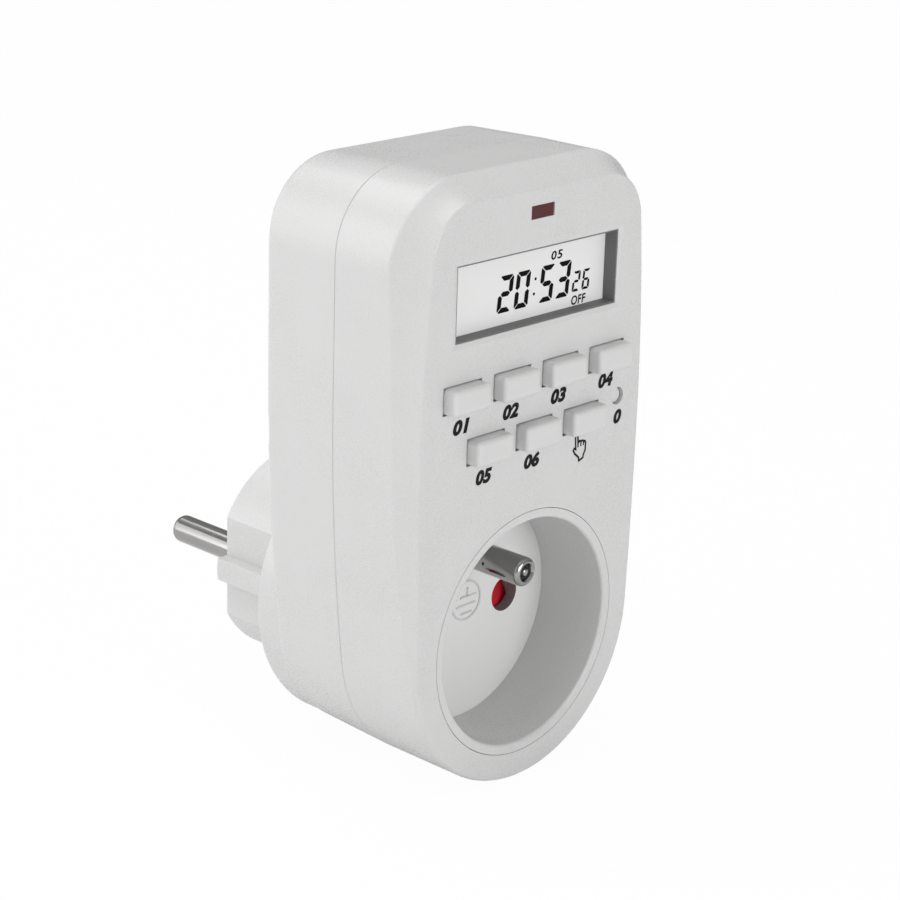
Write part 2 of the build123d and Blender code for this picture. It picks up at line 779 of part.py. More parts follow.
with BuildPart() as pin_carrier:
    with BuildSketch(station(carrier_back)):
        add(plug_profile(plug_wall + carrier_clearance))
        with GridLocations(pin_spacing, 0, 2, 1):
            Circle(pin_tail_radius + pin_hole_clearance, mode=Mode.SUBTRACT)
        with Locations((0, earth_offset)):
            Circle(sleeve_boss_radius + carrier_clearance, mode=Mode.SUBTRACT)
        with Locations(*carrier_screws_at):
            Circle(small_screw_radius + screw_clearance, mode=Mode.SUBTRACT)
    extrude(amount=carrier_thickness)
keep(pin_carrier.part, "pin_carrier")

with BuildPart() as earth_sleeve:
    with BuildSketch(station(plug_face_depth - sleeve_setback)):
        with Locations((0, earth_offset)):
            Circle(sleeve_bore_radius + sleeve_wall)
            Circle(sleeve_bore_radius, mode=Mode.SUBTRACT)
    extrude(amount=plug_face_depth - sleeve_setback - clip_leg_depth)
keep(earth_sleeve.part, "earth_sleeve")

groove_floor = plug_radius - clip_thickness - clip_clearance
for side, name in ((1, "earth_clip_top"), (-1, "earth_clip_bottom")):
    with BuildPart() as earth_clip:
        with BuildSketch(station(plug_face_depth - clip_setback)):
            with Locations((0, side * (groove_floor + clip_thickness / 2))):
                Rectangle(clip_width, clip_thickness)
        extrude(amount=plug_face_depth - clip_setback - clip_leg_depth)
        outer_end = earth_clip.edges().filter_by(Axis.Z).group_by(Axis.Y)[-1]
        fillet(outer_end, clip_width / 2 - clip_clearance)
        with BuildSketch(station(clip_leg_depth + clip_thickness)):
            with Locations((0, side * (groove_floor + clip_thickness - clip_leg / 2))):
                Rectangle(clip_width, clip_leg)
        extrude(amount=clip_thickness)
    keep(earth_clip.part, name)

with BuildPart() as earth_strap:
    with BuildSketch(station(clip_leg_depth)):
        Rectangle(clip_width, 2 * strap_reach)
    extrude(amount=strap_thickness)
    with BuildSketch(station(clip_leg_depth)):
        with Locations((0, strap_run_height)):
            Rectangle(clip_width, strap_thickness, align=(Align.CENTER, Align.MAX))
    extrude(amount=clip_leg_depth - base_back)
    with BuildSketch(station(base_back + strap_thickness)):
        with Locations((0, strap_run_height)):
            Rectangle(clip_width, 2 * (strap_run_height - earth_offset), align=(Align.CENTER, Align.MAX))
        with Locations((0, earth_offset)):
            Circle(earth_stud_radius + pin_hole_clearance, mode=Mode.SUBTRACT)
    extrude(amount=strap_thickness)
keep(earth_strap.part, "earth_strap")

# ---- Display: dark surround, glass, holder and rubber connector strip ----
with BuildPart() as display_surround:
    with BuildSketch(station(glass_depth)):
        with Locations((0, window_centre)):
            Rectangle(2 * glass_half_width, 2 * glass_half_height)
            Rectangle(window_width, window_height, mode=Mode.SUBTRACT)
    extrude(amount=surround_thickness)
    with BuildSketch(station(glass_depth)):
        with Locations((0, window_centre)):
            Rectangle(window_width + 2 * surround_lip, window_height + 2 * surround_lip)
            Rectangle(window_width, window_height, mode=Mode.SUBTRACT)
    extrude(amount=glass_depth - surround_recess)
keep(display_surround.part, "display_surround")

with BuildPart() as display_glass:
    with BuildSketch(station(glass_depth + glass_thickness)):
        with Locations((0, window_centre)):
            Rectangle(2 * glass_half_width, 2 * glass_half_height)
    extrude(amount=glass_thickness)
keep(display_glass.part, "display_glass")

holder_border = glass_clearance + holder_wall
strip_height = window_centre - glass_half_height + strip_thickness / 2 + strip_clearance
with BuildPart() as display_holder:
    with BuildSketch(station(control_depth)):
        with Locations((0, window_centre)):
            RectangleRounded(
                2 * (glass_half_width + holder_border), 2 * (glass_half_height + holder_border),
                holder_corner_radius,
            )
    extrude(amount=control_depth - wall)
    with BuildSketch(station(glass_depth + glass_thickness)):
        with Locations((0, window_centre)):
            Rectangle(2 * (glass_half_width + glass_clearance), 2 * (glass_half_height + glass_clearance))
    extrude(amount=glass_thickness + surround_thickness, mode=Mode.SUBTRACT)
    with BuildSketch(station(control_depth)):
        with Locations((0, window_centre)):
            Rectangle(window_width, window_height)
        with Locations((0, strip_height)):
            Rectangle(2 * (strip_half_length + strip_clearance), strip_thickness + 2 * strip_clearance)
    extrude(amount=control_depth - glass_depth - glass_thickness, mode=Mode.SUBTRACT)
keep(display_holder.part, "display_holder")

with BuildPart() as connector_strip:
    with BuildSketch(station(control_depth)):
        with Locations((0, strip_height)):
            Rectangle(2 * strip_half_length, strip_thickness)
    extrude(amount=control_depth - glass_depth - glass_thickness)
keep(connector_strip.part, "connector_strip")

# ---- Lamp, with its two leads ----
with BuildPart() as indicator_lamp:
    with BuildSketch(station(lamp_recess + lamp_length)):
        with Locations((0, lamp_centre)):
            Rectangle(lamp_width, lamp_height)
    extrude(amount=lamp_length)
    with BuildSketch(station(lamp_recess + lamp_length)):
        with Locations((0, lamp_centre)):
            with GridLocations(lead_spacing, 0, 2, 1):
                Circle(lead_radius)
    extrude(amount=-(control_depth + board_thickness + lead_radius - lamp_recess - lamp_length))
keep(indicator_lamp.part, "indicator_lamp")

# ---- Buttons and the plungers of their switches ----
flange_front = wall + cap_gap
flange_end = flange_front + cap_flange_thickness
switch_front = control_depth - switch_body
plunger_front = switch_front - plunger_rise

for name, place in button_places.items():
    with BuildPart() as cap:
        with BuildSketch(station(flange_end)):
            with Locations(place):
                Rectangle(cap_width, cap_height)
        extrude(amount=flange_end + cap_projection)
        fillet(cap.edges().group_by(Axis.Y)[0] + cap.edges().filter_by(Axis.Y), cap_edge_radius)
        with BuildSketch(station(flange_end)):
            with Locations(place):
                Rectangle(cap_width + 2 * cap_flange, cap_height + 2 * cap_flange)
        extrude(amount=cap_flange_thickness)
        with BuildSketch(station(plunger_front)):
            with Locations(place):
                Circle(stem_radius)
        extrude(amount=plunger_front - flange_end)
    keep(cap.part, name)

with BuildPart() as reset_button:
    with BuildSketch(station(flange_end)):
        with Locations((reset_x, reset_height)):
            Circle(reset_radius)
    extrude(amount=flange_end - reset_recess)
    chamfer(reset_button.edges().group_by(Axis.Y)[0], cap_gap * 4)
    with BuildSketch(station(flange_end)):
        with Locations((reset_x, reset_height)):
            Circle(reset_radius + cap_flange)
    extrude(amount=cap_flange_thickness)
    with BuildSketch(station(plunger_front)):
        with Locations((reset_x, reset_height)):
            Circle(reset_radius)
    extrude(amount=plunger_front - flange_end)
keep(reset_button.part, "reset_button")

for name, place in press_places.items():
    with BuildPart() as plunger:
        with BuildSketch(station(switch_front + plunger_inside)):
            with Locations(place):
                Circle(plunger_radius)
        extrude(amount=plunger_rise + plunger_inside)
    keep(plunger.part, name.replace("button", "plunger"))

with BuildPart() as push_switches:
    with BuildSketch(station(control_depth)):
        with Locations(*press_places.values()):
            Rectangle(switch_width, switch_height)
    extrude(amount=switch_body)
    with BuildSketch(station(switch_front)):
        with Locations(*press_places.values()):
            Circle(plunger_radius + plunger_clearance)
    extrude(amount=-(plunger_inside + button_travel + plunger_clearance), mode=Mode.SUBTRACT)
keep(push_switches.part, "push_switches")

# ---- Boards ----
def board_profile(half_width, top, screws):
    """Outline of a board with a notch for each upper screw boss and its screw holes."""
    with BuildSketch(Plane.XY) as profile:
        with Locations((0, board_bottom)):
            Rectangle(2 * half_width, top - board_bottom, align=(Align.CENTER, Align.MIN))
        notch_x = upper_screw_x - screw_boss_radius - 3 * screw_clearance
        notch_z = upper_screw_height - screw_boss_radius - 3 * screw_clearance
        with Locations((notch_x, notch_z)):
            Rectangle(corner_notch, 2 * corner_notch, align=(Align.MIN, Align.MIN), mode=Mode.SUBTRACT)
        with Locations((-notch_x, notch_z)):
            Rectangle(corner_notch, 2 * corner_notch, align=(Align.MAX, Align.MIN), mode=Mode.SUBTRACT)
        with Locations(*screws):
            Circle(small_screw_radius + screw_clearance, mode=Mode.SUBTRACT)
    return profile.sketch


with BuildPart() as control_board:
    with BuildSketch(station(control_depth + board_thickness)):
        add(board_profile(control_half_width, control_top, control_screws_at))
        with Locations((0, lamp_centre)):
            with GridLocations(lead_spacing, 0, 2, 1):
                Circle(lead_radius + lead_clearance, mode=Mode.SUBTRACT)
    extrude(amount=board_thickness)
keep(control_board.part, "control_board")

with BuildPart() as power_board:
    with BuildSketch(station(power_depth + board_thickness)):
        add(board_profile(power_half_width, power_top, power_screws_at))
    extrude(amount=board_thickness)
keep(power_board.part, "power_board")

with BuildPart() as timer_chip:
    with BuildSketch(station(control_back + chip_height)):
        with Locations(chip_place):
            Circle(chip_radius)
    extrude(amount=chip_height)
    fillet(timer_chip.edges().group_by(Axis.Y)[-1], chip_height * 0.8)
keep(timer_chip.part, "timer_chip")

with BuildPart() as crystal:
    with BuildSketch(Plane.YZ.offset(crystal_place[0] - crystal_length / 2)):
        with Locations((control_back + crystal_radius - plug_face_depth, crystal_place[1])):
            Circle(crystal_radius)
    extrude(amount=crystal_length)
keep(crystal.part, "crystal")

with BuildPart() as backup_battery:
    with BuildSketch(station(control_back + battery_thickness)):
        with Locations(battery_place):
            Circle(battery_radius)
    extrude(amount=battery_thickness)
    fillet(backup_battery.edges().group_by(Axis.Y)[-1], rim_radius)
keep(backup_battery.part, "backup_battery")

with BuildPart() as film_capacitor:
    with BuildSketch(station(power_depth)):
        with Locations(film_place):
            Rectangle(*film_size)
    extrude(amount=film_rise)
    fillet(film_capacitor.edges().filter_by(Axis.Y), rim_radius)
keep(film_capacitor.part, "film_capacitor")

with BuildPart() as smoothing_capacitor:
    with BuildSketch(station(power_depth)):
        with Locations(smoothing_place):
            Circle(smoothing_radius)
    extrude(amount=smoothing_length)
    fillet(smoothing_capacitor.edges().group_by(Axis.Y)[0], rim_radius)
keep(smoothing_capacitor.part, "smoothing_capacitor")

with BuildPart() as board_components:
    for x, z in small_parts_at:
        with BuildSketch(Plane.YZ.offset(x - small_part_length / 2)):
            with Locations((power_depth - small_part_radius - plug_face_depth, z)):
                Circle(small_part_radius)
        extrude(amount=small_part_length)
keep(board_components.part, "board_components")

with BuildPart() as ribbon_cable:
    with BuildSketch(Plane.YZ.offset(ribbon_x - ribbon_width / 2)):
        with BuildLine():
            near = control_back - plug_face_depth
            far = power_depth - plug_face_depth
            lower = ThreePointArc(
                (near, ribbon_height), ((near + far) / 2, ribbon_height + ribbon_bow), (far, ribbon_height)
            )
            Line(lower @ 1, (far, ribbon_height + ribbon_thickness))
            upper = ThreePointArc(
                (far, ribbon_height + ribbon_thickness),
                ((near + far) / 2, ribbon_height + ribbon_bow + ribbon_thickness),
                (near, ribbon_height + ribbon_thickness),
            )
            Line(upper @ 1, lower @ 0)
        make_face()
    extrude(amount=ribbon_width)
keep(ribbon_cable.part, "ribbon_cable")

# ---- Relay: base, cover, bobbin, coil, yoke with core, armature, blade, fixed contact ----
relay_x, relay_z = relay_place
relay_floor = power_depth - relay_base_thickness
yoke_front = relay_floor - yoke_thickness
armature_front = power_depth - relay_rise + relay_wall + blade_air + blade_thickness
hinge_depth = armature_front + armature_thickness
pole_front = hinge_depth + armature_gap
pole_back = pole_front + pole_thickness
coil_length = yoke_front - pole_back - 2 * coil_flange_thickness
core_at = (relay_x, relay_z + core_place)
hinge_height = relay_z + yoke_leg - yoke_thickness
cover_inside = relay_wall + relay_fit

with BuildPart() as relay_base:
    with BuildSketch(station(power_depth)):
        with Locations(relay_place):
            Rectangle(relay_width - 2 * cover_inside, relay_height - 2 * cover_inside)
    extrude(amount=relay_base_thickness)
keep(relay_base.part, "relay_base")

with BuildPart() as relay_cover:
    with BuildSketch(station(power_depth)):
        with Locations(relay_place):
            Rectangle(relay_width, relay_height)
    extrude(amount=relay_rise)
    fillet(relay_cover.edges().filter_by(Axis.Y) + relay_cover.edges().group_by(Axis.Y)[0], rim_radius)
    with BuildSketch(station(power_depth)):
        with Locations(relay_place):
            Rectangle(relay_width - 2 * relay_wall, relay_height - 2 * relay_wall)
    extrude(amount=relay_rise - relay_wall, mode=Mode.SUBTRACT)
keep(relay_cover.part, "relay_cover")

with BuildPart() as relay_bobbin:
    with BuildSketch(station(yoke_front)):
        with Locations(core_at):
            Circle(coil_flange_radius)
    extrude(amount=coil_flange_thickness)
    with BuildSketch(station(yoke_front)):
        with Locations(core_at):
            Circle(core_radius + bobbin_wall)
    extrude(amount=yoke_front - pole_back)
    with BuildSketch(station(pole_back + coil_flange_thickness)):
        with Locations(core_at):
            Circle(coil_flange_radius)
    extrude(amount=coil_flange_thickness)
    with BuildSketch(station(yoke_front)):
        with Locations(core_at):
            Circle(core_radius)
    extrude(amount=yoke_front - pole_back, mode=Mode.SUBTRACT)
keep(relay_bobbin.part, "relay_bobbin")

with BuildPart() as relay_coil:
    with BuildSketch(station(yoke_front - coil_flange_thickness)):
        with Locations(core_at):
            Circle(coil_radius)
            Circle(core_radius + bobbin_wall, mode=Mode.SUBTRACT)
    extrude(amount=coil_length)
keep(relay_coil.part, "relay_coil")

with BuildPart() as relay_yoke:
    foot_bottom = core_at[1] - yoke_half_width
    with BuildSketch(station(relay_floor)):
        with Locations((relay_x, foot_bottom)):
            Rectangle(
                2 * yoke_half_width, hinge_height + yoke_thickness - foot_bottom,
                align=(Align.CENTER, Align.MIN),
            )
    extrude(amount=yoke_thickness)
    with BuildSketch(station(relay_floor)):
        with Locations((relay_x, hinge_height)):
            Rectangle(2 * yoke_half_width, yoke_thickness, align=(Align.CENTER, Align.MIN))
    extrude(amount=relay_floor - hinge_depth)
    with BuildSketch(station(yoke_front)):
        with Locations(core_at):
            Circle(core_radius)
    extrude(amount=yoke_front - pole_back)
    with BuildSketch(station(pole_back)):
        with Locations(core_at):
            Circle(pole_radius)
    extrude(amount=pole_thickness)
keep(relay_yoke.part, "relay_yoke")

contact_at = (relay_x, relay_z + contact_place)
armature_bottom = contact_at[1] + contact_radius + screw_clearance
with BuildPart() as relay_armature:
    with BuildSketch(station(hinge_depth)):
        with Locations((relay_x, armature_bottom)):
            Rectangle(
                2 * yoke_half_width, hinge_height + yoke_thickness - armature_bottom,
                align=(Align.CENTER, Align.MIN),
            )
    extrude(amount=armature_thickness)
keep(relay_armature.part, "relay_armature")

with BuildPart() as relay_blade:
    blade_bottom = contact_at[1] - contact_radius
    with BuildSketch(station(armature_front)):
        with Locations((relay_x, blade_bottom)):
            Rectangle(
                2 * blade_half_width, hinge_height - blade_bottom, align=(Align.CENTER, Align.MIN)
            )
    extrude(amount=blade_thickness)
    with BuildSketch(station(armature_front + contact_rise)):
        with Locations(contact_at):
            Circle(contact_radius)
    extrude(amount=contact_rise)
keep(relay_blade.part, "relay_blade")

rivet_back = armature_front + 2 * contact_rise + contact_opening
post_bottom = relay_z + contact_post_place - contact_post / 2
with BuildPart() as relay_contact:
    with BuildSketch(station(rivet_back)):
        with Locations(contact_at):
            Circle(contact_radius)
    extrude(amount=contact_rise)
    with BuildSketch(station(rivet_back + contact_arm)):
        with Locations((relay_x, post_bottom)):
            Rectangle(
                2 * blade_half_width, contact_at[1] + contact_radius - post_bottom,
                align=(Align.CENTER, Align.MIN),
            )
    extrude(amount=contact_arm)
    with BuildSketch(station(relay_floor)):
        with Locations((relay_x, post_bottom)):
            Rectangle(2 * blade_half_width, contact_post, align=(Align.CENTER, Align.MIN))
    extrude(amount=relay_floor - rivet_back)
keep(relay_contact.part, "relay_contact")

# ---- Mains leads: each runs between a plug pin, a socket contact and the power board ----
tail_depth = carrier_back - pin_tail_length
tab_depth = base_back + contact_length
board_middle = power_depth + board_thickness / 2


def lead(points):
    """Round lead through the given (x, depth, height) points, with rounded bends."""
    with BuildPart() as run:
        with BuildLine() as path:
            FilletPolyline(
                *[(x, depth - plug_face_depth, height) for x, depth, height in points], radius=wire_bend
            )
        with BuildSketch(Plane(origin=path.line @ 0, z_dir=path.line % 0)):
            Circle(wire_radius)
        sweep()
    return run.part


for side, name in ((-1, "line_leads"), (1, "neutral_leads")):
    # one lead from the plug pin to the board's edge, one from the edge to the socket contact
    supply = lead([
        (side * pin_x, tail_depth, 0),
        (side * pin_x, tail_depth - 2 * wire_bend, 0),
        (side * supply_x, (tail_depth + tab_depth) / 2, tab_height + wire_radius),
        (side * supply_x, tab_depth, insert_radius / 2),
        (side * supply_x, board_middle, insert_radius),
        (side * supply_x, board_middle, board_bottom),
    ])
    output = lead([
        (side * output_x, board_middle, board_bottom),
        (side * output_x, board_middle, insert_radius),
        (side * pin_x, tab_depth + wire_radius, insert_radius / 2 + wire_bend),
        (side * pin_x, tab_depth + wire_radius, contact_height / 2),
    ])
    with BuildPart() as leads:
        add(supply)
        add(output)
    keep(leads.part, name)

# ---- Screws ----
with BuildPart() as housing_screws:
    head_front = back_depth - screw_recess - screw_head_height
    with BuildSketch(back_station(head_front)):
        with Locations(*housing_screws_at):
            Circle(screw_head_radius)
    extrude(amount=screw_head_height)
    fillet(housing_screws.edges().group_by(Axis.Y)[-1], rim_radius)
    with BuildSketch(station(head_front)):
        with Locations(*housing_screws_at):
            Circle(screw_radius)
    extrude(amount=head_front - front_depth + screw_engagement - screw_clearance)
    with BuildSketch(station(head_front + screw_head_height)):
        with Locations(*housing_screws_at):
            Rectangle(drive_width, drive_length)
            Rectangle(drive_length, drive_width)
    extrude(amount=drive_depth, mode=Mode.SUBTRACT)
keep(housing_screws.part, "housing_screws")

with BuildPart() as board_screws:
    # screws of the control board, whose heads face the wall
    with BuildSketch(station(control_back + small_head_height)):
        with Locations(*control_screws_at):
            Circle(small_head_radius)
    extrude(amount=small_head_height)
    with BuildSketch(station(control_back)):
        with Locations(*control_screws_at):
            Circle(small_screw_radius)
    extrude(amount=small_screw_length)
    # screws of the power board and the pin carrier, whose heads face the front
    for face, places in ((power_depth, power_screws_at), (carrier_depth, carrier_screws_at)):
        with BuildSketch(station(face)):
            with Locations(*places):
                Circle(small_head_radius)
        extrude(amount=small_head_height)
        with BuildSketch(station(face + small_screw_length)):
            with Locations(*places):
                Circle(small_screw_radius)
        extrude(amount=small_screw_length)
keep(board_screws.part, "board_screws")
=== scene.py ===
import json
import math
import bmesh
import bpy
import numpy as np
from mathutils import Matrix, Vector


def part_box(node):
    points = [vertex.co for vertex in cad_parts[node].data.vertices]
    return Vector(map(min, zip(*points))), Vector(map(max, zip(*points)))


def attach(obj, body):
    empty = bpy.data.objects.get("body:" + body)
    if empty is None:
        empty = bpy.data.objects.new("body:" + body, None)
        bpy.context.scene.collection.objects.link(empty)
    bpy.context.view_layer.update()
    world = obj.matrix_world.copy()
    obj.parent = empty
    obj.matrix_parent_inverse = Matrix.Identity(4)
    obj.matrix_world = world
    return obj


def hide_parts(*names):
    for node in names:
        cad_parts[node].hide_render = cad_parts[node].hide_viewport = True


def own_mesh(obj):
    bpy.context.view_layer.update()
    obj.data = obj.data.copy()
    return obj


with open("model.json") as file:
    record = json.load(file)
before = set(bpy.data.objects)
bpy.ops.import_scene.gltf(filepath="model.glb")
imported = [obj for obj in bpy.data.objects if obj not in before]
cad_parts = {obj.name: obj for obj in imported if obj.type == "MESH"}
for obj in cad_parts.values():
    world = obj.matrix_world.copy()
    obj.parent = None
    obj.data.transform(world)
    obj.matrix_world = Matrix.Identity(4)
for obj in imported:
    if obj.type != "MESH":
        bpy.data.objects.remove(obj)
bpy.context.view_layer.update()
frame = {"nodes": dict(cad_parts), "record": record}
scene = bpy.context.scene
nodes = frame["nodes"]
slotOf = {row["node"]: row["material_slot"] for row in frame["record"]["subparts"]}
mm = 0.001  # a piece's own sizes are in millimetres
print("frame loaded,", len(nodes), "nodes")


def linkObject(name, data):
    holder = bpy.data.objects.new(name, data)
    scene.collection.objects.link(holder)
    return holder


# shader node groups, each used by several finishes

def startGroup(name, inputs, outputs):
    group = bpy.data.node_groups.new(name, "ShaderNodeTree")
    for label, kind, value in inputs:
        socket = group.interface.new_socket(name=label, in_out="INPUT", socket_type=kind)
        if value is not None:
            socket.default_value = value
    for label, kind in outputs:
        group.interface.new_socket(name=label, in_out="OUTPUT", socket_type=kind)
    into = group.nodes.new("NodeGroupInput")
    out = group.nodes.new("NodeGroupOutput")
    return group, into, out


def addMath(tree, operation, first, second):
    node = tree.nodes.new("ShaderNodeMath")
    node.operation = operation
    for socket, value in zip(node.inputs, (first, second)):
        if isinstance(value, (int, float)):
            socket.default_value = value
        else:
            tree.links.new(value, socket)
    return node.outputs[0]


def addNoise(tree, vector, scale, detail=2.0, roughness=0.5):
    node = tree.nodes.new("ShaderNodeTexNoise")
    tree.links.new(vector, node.inputs["Vector"])
    if isinstance(scale, (int, float)):
        node.inputs["Scale"].default_value = scale
    else:
        tree.links.new(scale, node.inputs["Scale"])
    node.inputs["Detail"].default_value = detail
    node.inputs["Roughness"].default_value = roughness
    return node.outputs["Fac"]


fineShare = 0.1  # how much of the fine grain shows in the gloss


def buildMouldGrain():
    # spark-eroded grain of a moulding, with faint flow marks
    group, into, out = startGroup(
        "mouldGrain",
        [("Vector", "NodeSocketVector", None), ("Grain Scale", "NodeSocketFloat", 5000.0),
         ("Flow Scale", "NodeSocketFloat", 60.0), ("Roughness", "NodeSocketFloat", 0.45),
         ("Spread", "NodeSocketFloat", 0.08)],
        [("Height", "NodeSocketFloat"), ("Roughness", "NodeSocketFloat"), ("Flow", "NodeSocketFloat")])
    grain = addNoise(group, into.outputs["Vector"], into.outputs["Grain Scale"], detail=3.0, roughness=0.6)
    flow = addNoise(group, into.outputs["Vector"], into.outputs["Flow Scale"])
    swing = addMath(group, "MULTIPLY", addMath(group, "SUBTRACT", flow, 0.5), into.outputs["Spread"])
    rough = addMath(group, "ADD", swing, into.outputs["Roughness"])
    fine = addMath(group, "MULTIPLY", addMath(group, "SUBTRACT", grain, 0.5), fineShare)
    group.links.new(grain, out.inputs["Height"])
    group.links.new(addMath(group, "ADD", rough, fine), out.inputs["Roughness"])
    group.links.new(flow, out.inputs["Flow"])
    return group


turning = {"acrossScale": 300.0, "smudgeScale": 420.0, "smudgeSwing": 0.18}


def buildTurningMarks():
    # rings left by the lathe round an axis along Y, with smudged gloss
    group, into, out = startGroup(
        "turningMarks",
        [("Vector", "NodeSocketVector", None), ("Ring Scale", "NodeSocketFloat", 9000.0),
         ("Roughness", "NodeSocketFloat", 0.22)],
        [("Height", "NodeSocketFloat"), ("Roughness", "NodeSocketFloat")])
    split = group.nodes.new("ShaderNodeSeparateXYZ")
    group.links.new(into.outputs["Vector"], split.inputs[0])
    join = group.nodes.new("ShaderNodeCombineXYZ")
    for side, scale in (("Y", into.outputs["Ring Scale"]), ("X", turning["acrossScale"]),
                        ("Z", turning["acrossScale"])):
        group.links.new(addMath(group, "MULTIPLY", split.outputs[side], scale), join.inputs[side])
    rings = addNoise(group, join.outputs[0], 1.0, roughness=0.6)
    smudge = addNoise(group, into.outputs["Vector"], turning["smudgeScale"], detail=3.0, roughness=0.6)
    swing = addMath(group, "MULTIPLY", addMath(group, "SUBTRACT", smudge, 0.5), turning["smudgeSwing"])
    group.links.new(rings, out.inputs["Height"])
    group.links.new(addMath(group, "ADD", swing, into.outputs["Roughness"]), out.inputs["Roughness"])
    return group


mouldGrain = buildMouldGrain()
turningMarks = buildTurningMarks()


# finishes

def startFinish(name):
    finish = bpy.data.materials.new(name)
    finish.use_nodes = True
    tree = finish.node_tree
    tree.nodes.clear()
    out = tree.nodes.new("ShaderNodeOutputMaterial")
    shader = tree.nodes.new("ShaderNodeBsdfPrincipled")
    tree.links.new(shader.outputs[0], out.inputs["Surface"])
    place = tree.nodes.new("ShaderNodeTexCoord")
    return finish, tree, shader, place.outputs["Object"]


def addBump(tree, shader, height, distance):
    bump = tree.nodes.new("ShaderNodeBump")
    bump.inputs["Distance"].default_value = distance
    bump.inputs["Strength"].default_value = 1.0
    tree.links.new(height, bump.inputs["Height"])
    tree.links.new(bump.outputs[0], shader.inputs["Normal"])


def addTint(tree, shader, factor, darker, lighter):
    ramp = tree.nodes.new("ShaderNodeValToRGB")
    low, high = ramp.color_ramp.elements
    low.position, high.position = 0.3, 0.7
    low.color = (*darker, 1)
    high.color = (*lighter, 1)
    tree.links.new(factor, ramp.inputs["Fac"])
    tree.links.new(ramp.outputs["Color"], shader.inputs["Base Color"])


def addGrain(tree, shader, place, scale, roughness, spread):
    grain = tree.nodes.new("ShaderNodeGroup")
    grain.node_tree = mouldGrain
    grain.inputs["Grain Scale"].default_value = scale
    grain.inputs["Roughness"].default_value = roughness
    grain.inputs["Spread"].default_value = spread
    tree.links.new(place, grain.inputs["Vector"])
    tree.links.new(grain.outputs["Roughness"], shader.inputs["Roughness"])
    return grain


def mouldedPlastic(name, colour, roughness, spread, grainScale, grainDepth, vary, coat=0.0, gloss=0.5):
    finish, tree, shader, place = startFinish(name)
    grain = addGrain(tree, shader, place, grainScale, roughness, spread)
    addBump(tree, shader, grain.outputs["Height"], grainDepth)
    darker = [c * (1 - vary) for c in colour]
    lighter = [min(1.0, c * (1 + vary)) for c in colour]
    addTint(tree, shader, grain.outputs["Flow"], darker, lighter)
    shader.inputs["Specular IOR Level"].default_value = gloss
    shader.inputs["Coat Weight"].default_value = coat
    shader.inputs["Coat Roughness"].default_value = 0.12
    return finish


def softRubber(name, colour, roughness):
    return mouldedPlastic(name, colour, roughness, spread=0.12, grainScale=3800.0, grainDepth=4e-6, vary=0.05)


plating = {"ringDepth": 1.2e-6, "stainScale": 260.0, "tarnish": 0.06}


def platedMetal(name, colour, roughness, ringScale=9000.0):
    finish, tree, shader, place = startFinish(name)
    marks = tree.nodes.new("ShaderNodeGroup")
    marks.node_tree = turningMarks
    marks.inputs["Ring Scale"].default_value = ringScale
    marks.inputs["Roughness"].default_value = roughness
    tree.links.new(place, marks.inputs["Vector"])
    tree.links.new(marks.outputs["Roughness"], shader.inputs["Roughness"])
    addBump(tree, shader, marks.outputs["Height"], plating["ringDepth"])
    stain = addNoise(tree, place, plating["stainScale"], detail=3.0, roughness=0.6)
    addTint(tree, shader, stain, [c * (1 - plating["tarnish"]) for c in colour], colour)
    shader.inputs["Metallic"].default_value = 1.0
    return finish


board = {
    "trackLength": 0.0062, "trackPitch": 0.0017, "trackGap": 0.00028, "trackDepth": 2.5e-5,
    "lacquer": (0.012, 0.115, 0.035, 1), "lacquerLight": (0.016, 0.135, 0.042, 1), "gap": (0.030, 0.20, 0.065, 1),
}


def lacqueredBoard():
    # green lacquer over copper tracks that run up and down the board
    finish, tree, shader, place = startFinish("lacqueredBoard")
    tracks = tree.nodes.new("ShaderNodeTexBrick")
    tracks.inputs["Scale"].default_value = 1.0
    tracks.inputs["Brick Width"].default_value = board["trackLength"]
    tracks.inputs["Row Height"].default_value = board["trackPitch"]
    tracks.inputs["Mortar Size"].default_value = board["trackGap"]
    tracks.inputs["Mortar Smooth"].default_value = 0.1
    tracks.inputs["Color1"].default_value = board["lacquer"]
    tracks.inputs["Color2"].default_value = board["lacquerLight"]
    tracks.inputs["Mortar"].default_value = board["gap"]
    turn = tree.nodes.new("ShaderNodeMapping")
    turn.inputs["Rotation"].default_value = (math.radians(90), 0, 0)
    tree.links.new(place, turn.inputs["Vector"])
    tree.links.new(turn.outputs[0], tracks.inputs["Vector"])
    tree.links.new(tracks.outputs["Color"], shader.inputs["Base Color"])
    addBump(tree, shader, tracks.outputs["Fac"], board["trackDepth"])
    shader.inputs["Roughness"].default_value = 0.35
    shader.inputs["Coat Weight"].default_value = 0.5
    shader.inputs["Coat Roughness"].default_value = 0.15
    return finish


# the display face also gets a faint painted glow, though it is no lamp
displayLook = {
    "grainScale": 9000.0, "flowScale": 35.0, "roughness": 0.34, "spread": 0.05,
    "darker": (0.42, 0.42, 0.418), "lighter": (0.435, 0.435, 0.433), "glow": (1.0, 1.0, 0.995, 1), "paintedGlowStrength": 0.33,
}


def displayFace():
    # pale reflective display behind its polariser, with a faint painted glow that evens out the light and shade on it
    finish, tree, shader, place = startFinish("displayFace")
    grain = addGrain(tree, shader, place, displayLook["grainScale"], displayLook["roughness"],
                     displayLook["spread"])
    grain.inputs["Flow Scale"].default_value = displayLook["flowScale"]
    addTint(tree, shader, grain.outputs["Flow"], displayLook["darker"], displayLook["lighter"])
    # painted glow: this emission stands in for light falling on the display
    shader.inputs["Emission Color"].default_value = displayLook["glow"]
    shader.inputs["Emission Strength"].default_value = displayLook["paintedGlowStrength"]
    shader.inputs["Coat Weight"].default_value = 0.2
    shader.inputs["Coat Roughness"].default_value = 0.08
    return finish


